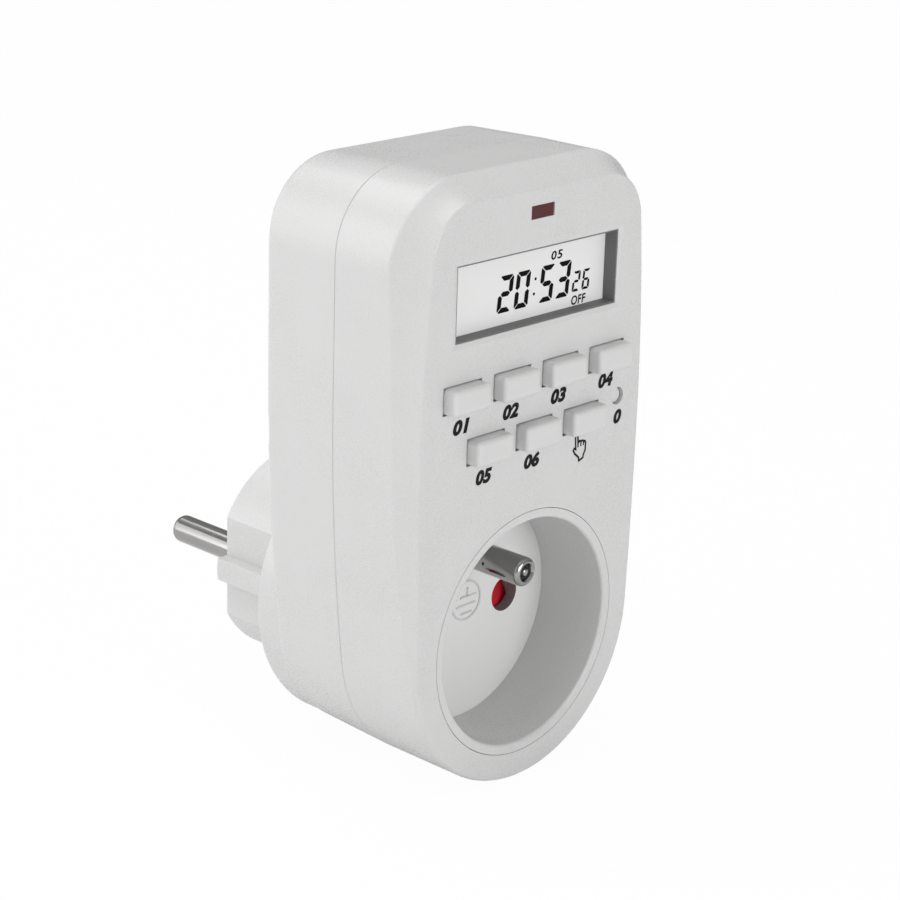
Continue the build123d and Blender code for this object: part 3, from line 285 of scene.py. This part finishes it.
def addMottle(tree, shader, place, look):
    # shade and gloss that change together
    mottle = addNoise(tree, place, look["scale"])
    addTint(tree, shader, mottle, look["darker"], look["lighter"])
    rough = addMath(tree, "ADD", addMath(tree, "MULTIPLY", mottle, look["swing"]), look["roughness"])
    tree.links.new(rough, shader.inputs["Roughness"])


wireLook = {"scale": 900.0, "darker": (0.30, 0.085, 0.025), "lighter": (0.52, 0.18, 0.06), "roughness": 0.22,
            "swing": 0.15}


def windingWire():
    finish, tree, shader, place = startFinish("windingWire")
    addMottle(tree, shader, place, wireLook)
    shader.inputs["Metallic"].default_value = 0.85
    return finish


lampLook = {"scale": 700.0, "darker": (0.088, 0.025, 0.026), "lighter": (0.106, 0.031, 0.032), "roughness": 0.40,
            "swing": 0.12, "back": -47.03}


def lampLens():
    finish, tree, shader, place = startFinish("lampLens")
    addMottle(tree, shader, place, lampLook)
    shader.inputs["Specular IOR Level"].default_value = 0.15
    return finish


finishes = {
    "case_plastic": mouldedPlastic("casePlastic", (0.615, 0.615, 0.612), roughness=0.28, spread=0.04,
                                   grainScale=5200.0, grainDepth=1.2e-6, vary=0.010),
    "button_plastic": mouldedPlastic("buttonPlastic", (0.63, 0.63, 0.627), roughness=0.42, spread=0.06,
                                     grainScale=6000.0, grainDepth=1.2e-6, vary=0.010),
    "shutter_plastic": mouldedPlastic("shutterPlastic", (0.62, 0.018, 0.034), roughness=0.30, spread=0.08,
                                      grainScale=4200.0, grainDepth=1.5e-6, vary=0.05),
    "inner_plastic": mouldedPlastic("innerPlastic", (0.70, 0.70, 0.69), roughness=0.5, spread=0.08,
                                    grainScale=4200.0, grainDepth=2.5e-6, vary=0.02),
    "switch_plastic": mouldedPlastic("switchPlastic", (0.018, 0.018, 0.019), roughness=0.42, spread=0.1,
                                     grainScale=4200.0, grainDepth=2.5e-6, vary=0.15),
    "nickel": platedMetal("nickelPlate", (0.38, 0.376, 0.368), roughness=0.15),
    "brass": platedMetal("rolledBrass", (0.62, 0.44, 0.17), roughness=0.28, ringScale=3000.0),
    "steel": platedMetal("zincPlate", (0.50, 0.50, 0.51), roughness=0.30, ringScale=4000.0),
    "board": lacqueredBoard(),
    "display_dark": mouldedPlastic("frameGrey", (0.145, 0.145, 0.145), roughness=0.55, spread=0.08,
                                   grainScale=5200.0, grainDepth=1.5e-6, vary=0.03),
    "display_glass": displayFace(),
    "connector_rubber": softRubber("connectorRubber", (0.02, 0.02, 0.02), roughness=0.7),
    "lamp_red": lampLens(),
    "relay_blue": mouldedPlastic("relayBlue", (0.010, 0.055, 0.28), roughness=0.28, spread=0.06,
                                 grainScale=4200.0, grainDepth=1.5e-6, vary=0.05, coat=0.3),
    "copper": windingWire(),
    "film_yellow": mouldedPlastic("filmYellow", (0.68, 0.46, 0.02), roughness=0.32, spread=0.06,
                                  grainScale=4200.0, grainDepth=1.5e-6, vary=0.04, coat=0.2),
    "capacitor_sleeve": mouldedPlastic("capacitorSleeve", (0.015, 0.018, 0.045), roughness=0.3, spread=0.06,
                                       grainScale=4200.0, grainDepth=1.5e-6, vary=0.1, coat=0.3),
    "ribbon_grey": softRubber("ribbonGrey", (0.27, 0.27, 0.29), roughness=0.55),
    "line_brown": softRubber("lineBrown", (0.085, 0.028, 0.010), roughness=0.5),
    "neutral_blue": softRubber("neutralBlue", (0.012, 0.055, 0.32), roughness=0.5),
}
for nodeName, nodeObject in nodes.items():
    nodeObject.data.materials.clear()
    nodeObject.data.materials.append(finishes[slotOf[nodeName]])

# painted reflection: a dark metal for the ring in the earth pin's tip hollow, standing in for the dark surroundings
# it reflects
paintedDarkReflectionMetal = platedMetal("paintedDarkReflectionMetal", (0.07, 0.07, 0.072), roughness=0.34)
# painted shade: the walls of the socket's apertures get a dark grey that stands in for the shade inside the holes
paintedShadeApertureWall = mouldedPlastic("paintedShadeApertureWall", (0.24, 0.24, 0.24), roughness=0.5, spread=0.06,
                              grainScale=5200.0, grainDepth=1e-6, vary=0.02)
# painted light: the socket's recess floor and the faces behind it get a lighter grey than its walls, standing in for
# the light that reaches the floor
paintedLightRecessFloor = mouldedPlastic("paintedLightRecessFloor", (0.74, 0.74, 0.737), roughness=0.30, spread=0.05,
                             grainScale=6200.0, grainDepth=6e-7, vary=0.010)
recess = {"wallEnd": -41.0, "apertureFront": -40.1, "apertureBack": -38.3}  # depths along Y


def paintBetween(nodeName, finish, front, back=math.inf):
    # gives the faces of a node that lie between two planes across Y their own finish
    mesh = nodes[nodeName].data
    mesh.materials.append(finish)
    for face in mesh.polygons:
        if front * mm < face.center.y < back * mm:
            face.material_index = len(mesh.materials) - 1


paintBetween("indicator_lamp", finishes["steel"], lampLook["back"])  # its leads
# painted light on the recess floor, which is lighter than the walls of the same moulding
paintBetween("socket_insert", paintedLightRecessFloor, recess["wallEnd"])
# painted shade on the aperture walls
paintBetween("socket_insert", paintedShadeApertureWall, recess["apertureFront"], recess["apertureBack"])
print("finishes given to", len(nodes), "nodes")


# flat printed and moulded shapes, drawn in X and Z and given a little depth along Y

def closeRing(shape, near, far):
    # caps and side walls between two rings of corners
    shape.faces.new(near)
    shape.faces.new(far[::-1])
    for i in range(len(near)):
        j = (i + 1) % len(near)
        shape.faces.new((near[i], far[i], far[j], near[j]))


def prismMesh(outlines, front, back):
    shape = bmesh.new()
    for outline in outlines:
        near, far = [[shape.verts.new((x * mm, y * mm, z * mm)) for x, z in outline] for y in (front, back)]
        closeRing(shape, near, far)
    bmesh.ops.recalc_face_normals(shape, faces=shape.faces)
    return shape


def addPiece(name, shape, finish, body):
    mesh = bpy.data.meshes.new(name)
    shape.to_mesh(mesh)
    shape.free()
    mesh.materials.append(finish)
    piece = linkObject(name, mesh)
    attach(piece, body)
    return piece


sharpestMitre = 0.45  # keeps sharp corners from growing spikes


def strokeOutline(points, width, closed):
    # both edges of a line of even width with mitred corners
    count = len(points)
    left, right = [], []
    for i, point in enumerate(points):
        here = Vector(point)
        runs = []
        if closed or i > 0:
            runs.append((here - Vector(points[i - 1])).normalized())
        if closed or i < count - 1:
            runs.append((Vector(points[(i + 1) % count]) - here).normalized())
        along = sum(runs, Vector((0, 0))).normalized()
        across = Vector((-along.y, along.x))
        reach = width / 2 / max(sharpestMitre, abs(across.dot(Vector((-runs[0].y, runs[0].x)))))
        left.append(here + across * reach)
        right.append(here - across * reach)
    return left, right


def strokeQuads(points, width, closed=False):
    left, right = strokeOutline(points, width, closed)
    count = len(points)
    last = count if closed else count - 1
    return [(left[i], left[(i + 1) % count], right[(i + 1) % count], right[i]) for i in range(last)]


def discOutline(x, z, radius, sides=20):
    return [(x + radius * math.cos(math.tau * i / sides), z + radius * math.sin(math.tau * i / sides))
            for i in range(sides)]


printedInk = mouldedPlastic("printedInk", (0.008, 0.008, 0.008), roughness=0.6, spread=0.06,
                            grainScale=6000.0, grainDepth=8e-7, vary=0.1, gloss=0.12)
liquidCrystal = mouldedPlastic("liquidCrystal", (0.004, 0.004, 0.004), roughness=0.6, spread=0.05,
                               grainScale=6000.0, grainDepth=4e-7, vary=0.1, gloss=0.06)

display = {
    "front": -51.03, "back": -50.99, "lean": 0.115, "cutCorner": 0.4,
    "hours": {"figures": ((-4.95, "2"), (-1.12, "0"), (4.5, "5"), (8.3, "3")), "middle": 55.85, "height": 5.75,
              "width": 3.15, "bar": 0.8, "upright": 0.88, "gap": 0.2},
    "seconds": {"figures": ((11.45, "2"), (13.78, "6")), "middle": 55.0, "height": 3.25,
                "width": 1.72, "bar": 0.42, "upright": 0.46, "gap": 0.14},
    "colon": {"x": 1.72, "rise": 1.17, "radius": 0.24},
}
# the bars of each figure, a to f clockwise from the top and g across the middle
litBars = {"0": "abcdef", "2": "abged", "3": "abgcd", "5": "afgcd", "6": "afgedc"}


def digitOutlines(figure, centre, size):
    # width, height, bar and upright thickness, then half a gap, the middle and the cut corner
    w, h, t, u = size["width"], size["height"], size["bar"], size["upright"]
    g, m, c = size["gap"] / 2, h / 2, t * display["cutCorner"]
    bars = {
        "a": [(c + g, h), (w - c - g, h), (w - c / 2 - g, h - c / 2), (w - u - g, h - t), (u + g, h - t),
              (c / 2 + g, h - c / 2)],
        "b": [(w, h - c - g), (w - c / 2, h - c / 2 - g), (w - u, h - t - g), (w - u, m + t / 2 + g),
              (w - u / 2, m + g), (w, m + t / 3 + g)],
        "g": [(u / 2 + g, m), (u + g, m + t / 2), (w - u - g, m + t / 2), (w - u / 2 - g, m), (w - u - g, m - t / 2),
              (u + g, m - t / 2)],
    }
    bars["d"] = [(x, h - z) for x, z in bars["a"]]
    bars["c"] = [(x, h - z) for x, z in bars["b"]]
    bars["f"] = [(w - x, z) for x, z in bars["b"]]
    bars["e"] = [(w - x, h - z) for x, z in bars["b"]]
    return [[(centre - w / 2 + x + display["lean"] * (z - m), size["middle"] - m + z) for x, z in bars[bar]]
            for bar in litBars[figure]]


def buildDisplayFigures():
    outlines = []
    for size in (display["hours"], display["seconds"]):
        for centre, figure in size["figures"]:
            outlines += digitOutlines(figure, centre, size)
    colon = display["colon"]
    for rise in (-colon["rise"], colon["rise"]):
        outlines.append(discOutline(colon["x"] + rise * display["lean"], display["hours"]["middle"] + rise,
                                    colon["radius"]))
    addPiece("display_figures", prismMesh(outlines, display["front"], display["back"]), liquidCrystal, "case")


buildDisplayFigures()

lettering = {"extrude": 0.01, "curveSteps": 4, "depth": 0.04}


def printedText(name, words, centre, look):
    curve = bpy.data.curves.new(name, "FONT")
    curve.body = words
    curve.align_x = "CENTER"
    curve.shear = look["shear"]
    curve.offset = look["weight"]
    curve.space_character = look["spacing"]
    curve.extrude = lettering["extrude"]
    curve.resolution_u = lettering["curveSteps"]
    holder = linkObject(name + "Outline", curve)
    bpy.context.view_layer.update()
    mesh = bpy.data.meshes.new_from_object(holder.evaluated_get(bpy.context.evaluated_depsgraph_get()))
    bpy.data.objects.remove(holder)
    points = np.array([v.co for v in mesh.vertices], float)
    low, high = points.min(0), points.max(0)
    off = points - (low + high) / 2
    x, z = centre
    placed = np.empty_like(points)
    placed[:, 0] = off[:, 0] * look["width"] * mm / (high[0] - low[0]) + x * mm
    placed[:, 1] = -off[:, 2] / (2 * lettering["extrude"]) * lettering["depth"] * mm + look["front"] * mm
    placed[:, 2] = off[:, 1] * look["height"] * mm / (high[1] - low[1]) + z * mm
    mesh.vertices.foreach_set("co", placed.ravel())
    mesh.update()
    mesh.materials.clear()
    mesh.materials.append(look["finish"])
    mesh.name = name
    piece = linkObject(name, mesh)
    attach(piece, "case")


switchedOff = {"height": 1.5, "width": 3.4, "weight": 0.024, "spacing": 1.1, "shear": 0.12, "front": -51.01,
               "finish": liquidCrystal}
dayNumber = {"height": 1.4, "width": 2.6, "weight": 0.022, "spacing": 1.15, "shear": 0.12, "front": -51.01,
             "finish": liquidCrystal}
printedText("display_off", "OFF", (12.15, 52.0), switchedOff)
printedText("display_day", "05", (6.6, 60.05), dayNumber)
print("display written")

# numbers printed under the buttons
labels = {
    "look": {"height": 2.4, "width": 3.6, "weight": 0.055, "spacing": 1.05, "shear": 0.22, "front": -53.61,
             "finish": printedInk},
    "places": {"01": (-16.6, 37.9), "02": (-5.6, 38.0), "03": (5.4, 38.25), "04": (16.7, 38.5),
               "05": (-11.2, 28.8), "06": (-0.3, 28.9)},
    "resetPlace": (20.1, 31.7), "resetWidth": 1.95,
}
for words, place in labels["places"].items():
    printedText("label_" + words, words, place, labels["look"])
printedText("label_reset", "0", labels["resetPlace"],
            {**labels["look"], "width": labels["resetWidth"], "spacing": 1.0})

# pointing hand under the manual button: outline, then the lines between the fingers
hand = {
    "centre": (10.95, 28.45), "line": 0.35, "fingerLine": 0.28, "front": -53.63, "back": -53.59,
    "outline": ((-0.98, 2.0), (-0.7, 2.22), (-0.42, 2.0), (-0.3, 0.85), (0.02, 1.12), (0.4, 0.98), (0.78, 1.06),
                (1.08, 0.84), (1.36, 0.84), (1.55, 0.5), (1.5, -0.75), (1.15, -1.35), (1.02, -1.9), (0.05, -2.2),
                (-0.05, -1.6), (-0.98, -0.85), (-1.4, -0.2), (-1.2, 0.08), (-0.8, -0.12)),
    "fingers": (((-0.3, 0.85), (-0.26, 0.1)), ((0.4, 0.9), (0.4, 0.15)), ((1.02, 0.85), (1.0, 0.2))),
}


def aboutCentre(points, centre):
    return [(centre[0] + x, centre[1] + z) for x, z in points]


def buildHand():
    quads = strokeQuads(aboutCentre(hand["outline"], hand["centre"]), hand["line"], closed=True)
    for line in hand["fingers"]:
        quads += strokeQuads(aboutCentre(line, hand["centre"]), hand["fingerLine"])
    addPiece("label_hand", prismMesh(quads, hand["front"], hand["back"]), printedInk, "case")


buildHand()

# earth sign moulded on the recess floor
earthSign = {
    "centre": (0.3, 1.35), "radius": 3.3, "sides": 48, "line": 0.34, "front": -40.36, "back": -40.15,
    "strokes": (((-1.35, 0.65), (2.35, 0.65)), ((-2.3, -0.8), (2.1, -0.8)), ((-1.2, -2.25), (1.4, -2.25)),
                ((0.3, 0.65), (0.3, 2.2))),
}


def buildEarthSign():
    ring = discOutline(*earthSign["centre"], earthSign["radius"], earthSign["sides"])
    quads = strokeQuads(ring, earthSign["line"], closed=True)
    for stroke in earthSign["strokes"]:
        quads += strokeQuads(aboutCentre(stroke, earthSign["centre"]), earthSign["line"])
    addPiece("earth_sign", prismMesh(quads, earthSign["front"], earthSign["back"]), finishes["case_plastic"],
             "case")


buildEarthSign()
print("labels printed")


# winding of the relay coil, one turn beside another on its core

coil = {"turns": 22, "ringSides": 40, "wireSides": 8}


def buildWindingTree():
    tree = bpy.data.node_groups.new("coilWinding", "GeometryNodeTree")
    tree.interface.new_socket(name="Geometry", in_out="INPUT", socket_type="NodeSocketGeometry")
    for label, kind in (("Turns", "NodeSocketInt"), ("Radius", "NodeSocketFloat"), ("Length", "NodeSocketFloat"),
                        ("Wire", "NodeSocketFloat"), ("Finish", "NodeSocketMaterial")):
        tree.interface.new_socket(name=label, in_out="INPUT", socket_type=kind)
    tree.interface.new_socket(name="Geometry", in_out="OUTPUT", socket_type="NodeSocketGeometry")
    into, out = tree.nodes.new("NodeGroupInput"), tree.nodes.new("NodeGroupOutput")
    line = tree.nodes.new("GeometryNodeMeshLine")
    line.mode = "END_POINTS"
    ring = tree.nodes.new("GeometryNodeCurvePrimitiveCircle")
    section = tree.nodes.new("GeometryNodeCurvePrimitiveCircle")
    sweep = tree.nodes.new("GeometryNodeCurveToMesh")
    place = tree.nodes.new("GeometryNodeInstanceOnPoints")
    real = tree.nodes.new("GeometryNodeRealizeInstances")
    paint = tree.nodes.new("GeometryNodeSetMaterial")
    end = tree.nodes.new("ShaderNodeCombineXYZ")
    ring.inputs["Resolution"].default_value = coil["ringSides"]
    section.inputs["Resolution"].default_value = coil["wireSides"]
    link = tree.links.new
    link(into.outputs["Turns"], line.inputs["Count"])
    link(into.outputs["Length"], end.inputs["Z"])
    link(end.outputs[0], line.inputs["Offset"])
    link(into.outputs["Radius"], ring.inputs["Radius"])
    link(into.outputs["Wire"], section.inputs["Radius"])
    link(ring.outputs[0], sweep.inputs["Curve"])
    link(section.outputs[0], sweep.inputs["Profile Curve"])
    link(line.outputs[0], place.inputs["Points"])
    link(sweep.outputs[0], place.inputs["Instance"])
    link(place.outputs[0], real.inputs[0])
    link(real.outputs[0], paint.inputs["Geometry"])
    link(into.outputs["Finish"], paint.inputs["Material"])
    link(paint.outputs[0], out.inputs[0])
    return tree


def growPiece(name, tree, values):
    # runs a geometry tree on an empty mesh and returns the plain mesh it makes
    holder = linkObject(name + "Seed", bpy.data.meshes.new(name + "Seed"))
    modifier = holder.modifiers.new("grow", "NODES")
    modifier.node_group = tree
    for item in tree.interface.items_tree:
        if item.item_type == "SOCKET" and item.in_out == "INPUT" and item.name in values:
            modifier[item.identifier] = values[item.name]
    bpy.context.view_layer.update()
    grown = bpy.data.meshes.new_from_object(holder.evaluated_get(bpy.context.evaluated_depsgraph_get()))
    bpy.data.objects.remove(holder)
    return grown


def buildWinding():
    low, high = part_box("relay_coil")
    length = high.y - low.y
    wire = length / coil["turns"] / 2
    radius = (high.x - low.x) / 2 - wire
    turns = growPiece("relay_winding", buildWindingTree(),
                      {"Turns": coil["turns"], "Radius": radius, "Length": length - 2 * wire, "Wire": wire,
                       "Finish": finishes["copper"]})
    middle = (low + high) / 2
    lay = Matrix.Rotation(math.radians(90), 4, "X")
    turns.transform(Matrix.Translation((middle.x, high.y - wire, middle.z)) @ lay)
    core = bmesh.new()
    bmesh.ops.create_cone(core, cap_ends=True, segments=coil["ringSides"], radius1=radius, radius2=radius,
                          depth=length)
    core.transform(Matrix.Translation(middle) @ lay)
    core.from_mesh(turns)
    piece = addPiece("relay_winding", core, finishes["copper"], "case")
    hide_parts("relay_coil")


buildWinding()
print("coil wound")


# earth pin, hollowed at its tip, with a seam and a vent on its side, each at an angle round it

earthPin = {
    "height": 10.0, "tip": -53.3, "round": 0.8, "radius": 2.4, "root": -40.5, "shank": 2.0, "shankEnd": -31.2,
    "stud": 1.5, "studEnd": -29.7, "sides": 72, "roundSteps": 8, "sharpAngle": 38,
    "crater": ((0.0, 0.1), (0.3, 0.13), (0.55, 0.22), (0.75, 0.4), (0.95, 0.62), (1.2, 0.62), (1.4, 0.35),
               (1.52, 0.08)),
    # radii of the ring in the tip's hollow that gets a painted dark reflection
    "groove": (0.6, 1.45),
    "seam": {"angle": 199.0, "front": -50.7, "back": -47.3, "half": 0.09},
    "vent": {"angle": 178.0, "middle": -46.1, "radius": 0.26, "sides": 16},
    "markProud": 0.012, "markSunk": 0.1,
}


def pinProfile():
    # radius and depth along the pin, from the middle of its tip to the end of its stud
    e = earthPin
    rings = [(radius, e["tip"] + sunk) for radius, sunk in e["crater"]]
    edge = e["radius"] - e["round"]
    for step in range(e["roundSteps"] + 1):
        turn = math.radians(90 * step / e["roundSteps"])
        rings.append((edge + e["round"] * math.sin(turn), e["tip"] + e["round"] * (1 - math.cos(turn))))
    return rings + [(e["radius"], e["root"]), (e["shank"], e["root"]), (e["shank"], e["shankEnd"]),
                    (e["stud"], e["shankEnd"]), (e["stud"], e["studEnd"]), (0.0, e["studEnd"])]


def turnedMesh(rings, sides, height):
    shape = bmesh.new()
    loops = []
    for radius, y in rings:
        count = sides if radius > 0 else 1
        loops.append([shape.verts.new((radius * mm * math.cos(math.tau * i / count), y * mm,
                                       (height + radius * math.sin(math.tau * i / count)) * mm))
                      for i in range(count)])
    for first, second in zip(loops, loops[1:]):
        for i in range(sides):
            j = (i + 1) % sides
            corners = [first[i % len(first)], first[j % len(first)], second[j % len(second)], second[i % len(second)]]
            shape.faces.new(list(dict.fromkeys(corners))).smooth = True
    bmesh.ops.recalc_face_normals(shape, faces=shape.faces)
    return shape


def buildEarthPin():
    e = earthPin
    piece = addPiece("earth_pin_turned", turnedMesh(pinProfile(), e["sides"], e["height"]), finishes["nickel"],
                     "case")
    piece.data.set_sharp_from_angle(angle=math.radians(e["sharpAngle"]))
    # painted reflection: the ring of faces in the tip's hollow gets a dark metal
    piece.data.materials.append(paintedDarkReflectionMetal)
    near, far = e["groove"]
    for face in piece.data.polygons:
        off = math.hypot(face.center.x, face.center.z - e["height"] * mm) / mm
        if near < off < far and face.center.y < (e["tip"] + e["round"]) * mm:
            face.material_index = 1
    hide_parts("socket_earth_pin")


def buildPinMarks():
    # thin plates that hug the pin, drawn as turns round it and depths along it
    e, seam, vent = earthPin, earthPin["seam"], earthPin["vent"]
    spread = seam["half"] / e["radius"]
    angle = math.radians(seam["angle"])
    marks = [[(angle + spread * side, seam[end]) for side, end in ((-1, "front"), (1, "front"), (1, "back"),
                                                                   (-1, "back"))]]
    marks.append([(math.radians(vent["angle"]) + x / e["radius"], y)
                  for x, y in discOutline(0.0, vent["middle"], vent["radius"], vent["sides"])])
    shape = bmesh.new()
    for mark in marks:
        near, far = [[shape.verts.new((radius * mm * math.cos(a), y * mm, (radius * math.sin(a) + e["height"]) * mm))
                      for a, y in mark] for radius in (e["radius"] + e["markProud"], e["radius"] - e["markSunk"])]
        closeRing(shape, near, far)
    bmesh.ops.recalc_face_normals(shape, faces=shape.faces)
    addPiece("earth_pin_marks", shape, printedInk, "case")


buildEarthPin()
buildPinMarks()
print("earth pin turned")


shutterSpring = {"joint": "shutter_slide", "travel": 6.4, "mergeDistance": 1e-6, "sharpAngle": 38}


def buildShutterSpring():
    # a copy of the return spring with its doubled corners merged; the real spring closes up on its seat as the
    # shutter sinks, but this copy keeps its drawn shape
    shape = bmesh.new()
    shape.from_mesh(nodes["shutter_spring"].data)
    bmesh.ops.remove_doubles(shape, verts=shape.verts, dist=shutterSpring["mergeDistance"])
    piece = addPiece("shutter_spring_coil", shape, finishes["steel"], "case")
    piece.data.set_sharp_from_angle(angle=math.radians(shutterSpring["sharpAngle"]))
    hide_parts("shutter_spring")
    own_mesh(piece)


buildShutterSpring()
print("shutter spring seated")


# floor, light and camera, in metres and degrees

floorSet = {"height": -0.0252, "size": 6.0, "grey": 0.86, "glow": 0.97}
roomSet = {"low": -0.2, "high": 0.7, "dim": 0.18, "bright": 0.40}  # upward look from low to high
lampAim = (0, -0.03, 0.025)
lamps = {
    "keyBox": {"azimuth": -108, "elevation": 10, "distance": 1.2, "size": 1.3, "watts": 7.8},
    "frontBox": {"azimuth": 2, "elevation": 3, "distance": 1.1, "size": 0.7, "watts": 7.0},
    "fillBox": {"azimuth": -26, "elevation": 14, "distance": 0.1, "size": 0.7, "watts": 0.2},
    "topBox": {"azimuth": -160, "elevation": 72, "distance": 1.1, "size": 1.1, "watts": 7.4},
    "backBox": {"azimuth": -150, "elevation": 10, "distance": 1.2, "size": 1.0, "watts": 3.6},
}
cameraSet = {
    "azimuth": -46.97, "elevation": 18.71, "roll": 1.74, "distance": 0.4206, "target": (0.01324, -0.0236, 0.01989),
    "lensPixels": 2511.0, "picturePixels": 900.0, "sensor": 36.0, "clip": (0.01, 20.0),
}


def buildFloor():
    mesh = bpy.data.meshes.new("floor")
    half = floorSet["size"] / 2
    z = floorSet["height"]
    mesh.from_pydata([(-half, -half, z), (half, -half, z), (half, half, z), (-half, half, z)], [], [(0, 1, 2, 3)])
    finish = bpy.data.materials.new("paleFloor")
    finish.use_nodes = True
    tree = finish.node_tree
    tree.nodes.clear()
    out = tree.nodes.new("ShaderNodeOutputMaterial")
    matt = tree.nodes.new("ShaderNodeBsdfDiffuse")
    matt.inputs["Color"].default_value = (floorSet["grey"],) * 3 + (1,)
    glow = tree.nodes.new("ShaderNodeEmission")
    glow.inputs["Color"].default_value = (1, 1, 1, 1)
    mix = tree.nodes.new("ShaderNodeMixShader")
    rays = tree.nodes.new("ShaderNodeLightPath")
    seen = addMath(tree, "MAXIMUM", rays.outputs["Is Camera Ray"], rays.outputs["Is Transmission Ray"])
    tree.links.new(addMath(tree, "MULTIPLY", seen, floorSet["glow"]), mix.inputs[0])
    tree.links.new(matt.outputs[0], mix.inputs[1])
    tree.links.new(glow.outputs[0], mix.inputs[2])
    tree.links.new(mix.outputs[0], out.inputs["Surface"])
    mesh.materials.append(finish)
    floor = linkObject("floor", mesh)


def buildRoom():
    # a soft grey room that grows lighter upwards; the camera sees plain white
    world = bpy.data.worlds.new("studio")
    scene.world = world
    world.use_nodes = True
    tree = world.node_tree
    tree.nodes.clear()
    out = tree.nodes.new("ShaderNodeOutputWorld")
    seen = tree.nodes.new("ShaderNodeBackground")
    seen.inputs["Color"].default_value = (1, 1, 1, 1)
    soft = tree.nodes.new("ShaderNodeBackground")
    soft.inputs["Color"].default_value = (1, 1, 1, 1)
    place = tree.nodes.new("ShaderNodeTexCoord")
    split = tree.nodes.new("ShaderNodeSeparateXYZ")
    tree.links.new(place.outputs["Generated"], split.inputs[0])
    climb = tree.nodes.new("ShaderNodeMapRange")
    climb.inputs["From Min"].default_value = roomSet["low"]
    climb.inputs["From Max"].default_value = roomSet["high"]
    climb.inputs["To Min"].default_value = roomSet["dim"]
    climb.inputs["To Max"].default_value = roomSet["bright"]
    tree.links.new(split.outputs["Z"], climb.inputs["Value"])
    tree.links.new(climb.outputs["Result"], soft.inputs["Strength"])
    rays = tree.nodes.new("ShaderNodeLightPath")
    mix = tree.nodes.new("ShaderNodeMixShader")
    tree.links.new(rays.outputs["Is Camera Ray"], mix.inputs[0])
    tree.links.new(soft.outputs[0], mix.inputs[1])
    tree.links.new(seen.outputs[0], mix.inputs[2])
    tree.links.new(mix.outputs[0], out.inputs["Surface"])


def directionFrom(azimuth, elevation):
    a, e = math.radians(azimuth), math.radians(elevation)
    return Vector((math.sin(a) * math.cos(e), -math.cos(a) * math.cos(e), math.sin(e)))


def addLamp(name, azimuth, elevation, distance, size, watts):
    # a square softbox turned to the object, which the camera itself doesn't see
    lamp = bpy.data.lights.new(name, "AREA")
    lamp.shape = "SQUARE"
    lamp.size = size
    lamp.energy = watts
    holder = linkObject(name, lamp)
    away = directionFrom(azimuth, elevation)
    holder.location = Vector(lampAim) + away * distance
    holder.rotation_mode = "QUATERNION"
    holder.rotation_quaternion = away.to_track_quat("Z", "Y")
    holder.visible_camera = False


def buildCamera():
    lensData = bpy.data.cameras.new("viewCamera")
    lensData.sensor_width = cameraSet["sensor"]
    lensData.lens = cameraSet["lensPixels"] / cameraSet["picturePixels"] * cameraSet["sensor"]
    lensData.clip_start, lensData.clip_end = cameraSet["clip"]
    holder = linkObject("viewCamera", lensData)
    away = directionFrom(cameraSet["azimuth"], cameraSet["elevation"])
    right = (-away).cross(Vector((0, 0, 1))).normalized()
    up = right.cross(-away)
    tilt = math.radians(cameraSet["roll"])
    rolledRight = right * math.cos(tilt) + up * math.sin(tilt)
    rolledUp = up * math.cos(tilt) - right * math.sin(tilt)
    holder.rotation_mode = "QUATERNION"
    holder.rotation_quaternion = Matrix((rolledRight, rolledUp, away)).transposed().to_quaternion()
    holder.location = Vector(cameraSet["target"]) + away * cameraSet["distance"]
    scene.camera = holder


buildFloor()
buildRoom()
for name, lamp in lamps.items():
    addLamp(name, **lamp)
buildCamera()
scene.view_settings.view_transform = "Standard"
print("stage, light and camera set")
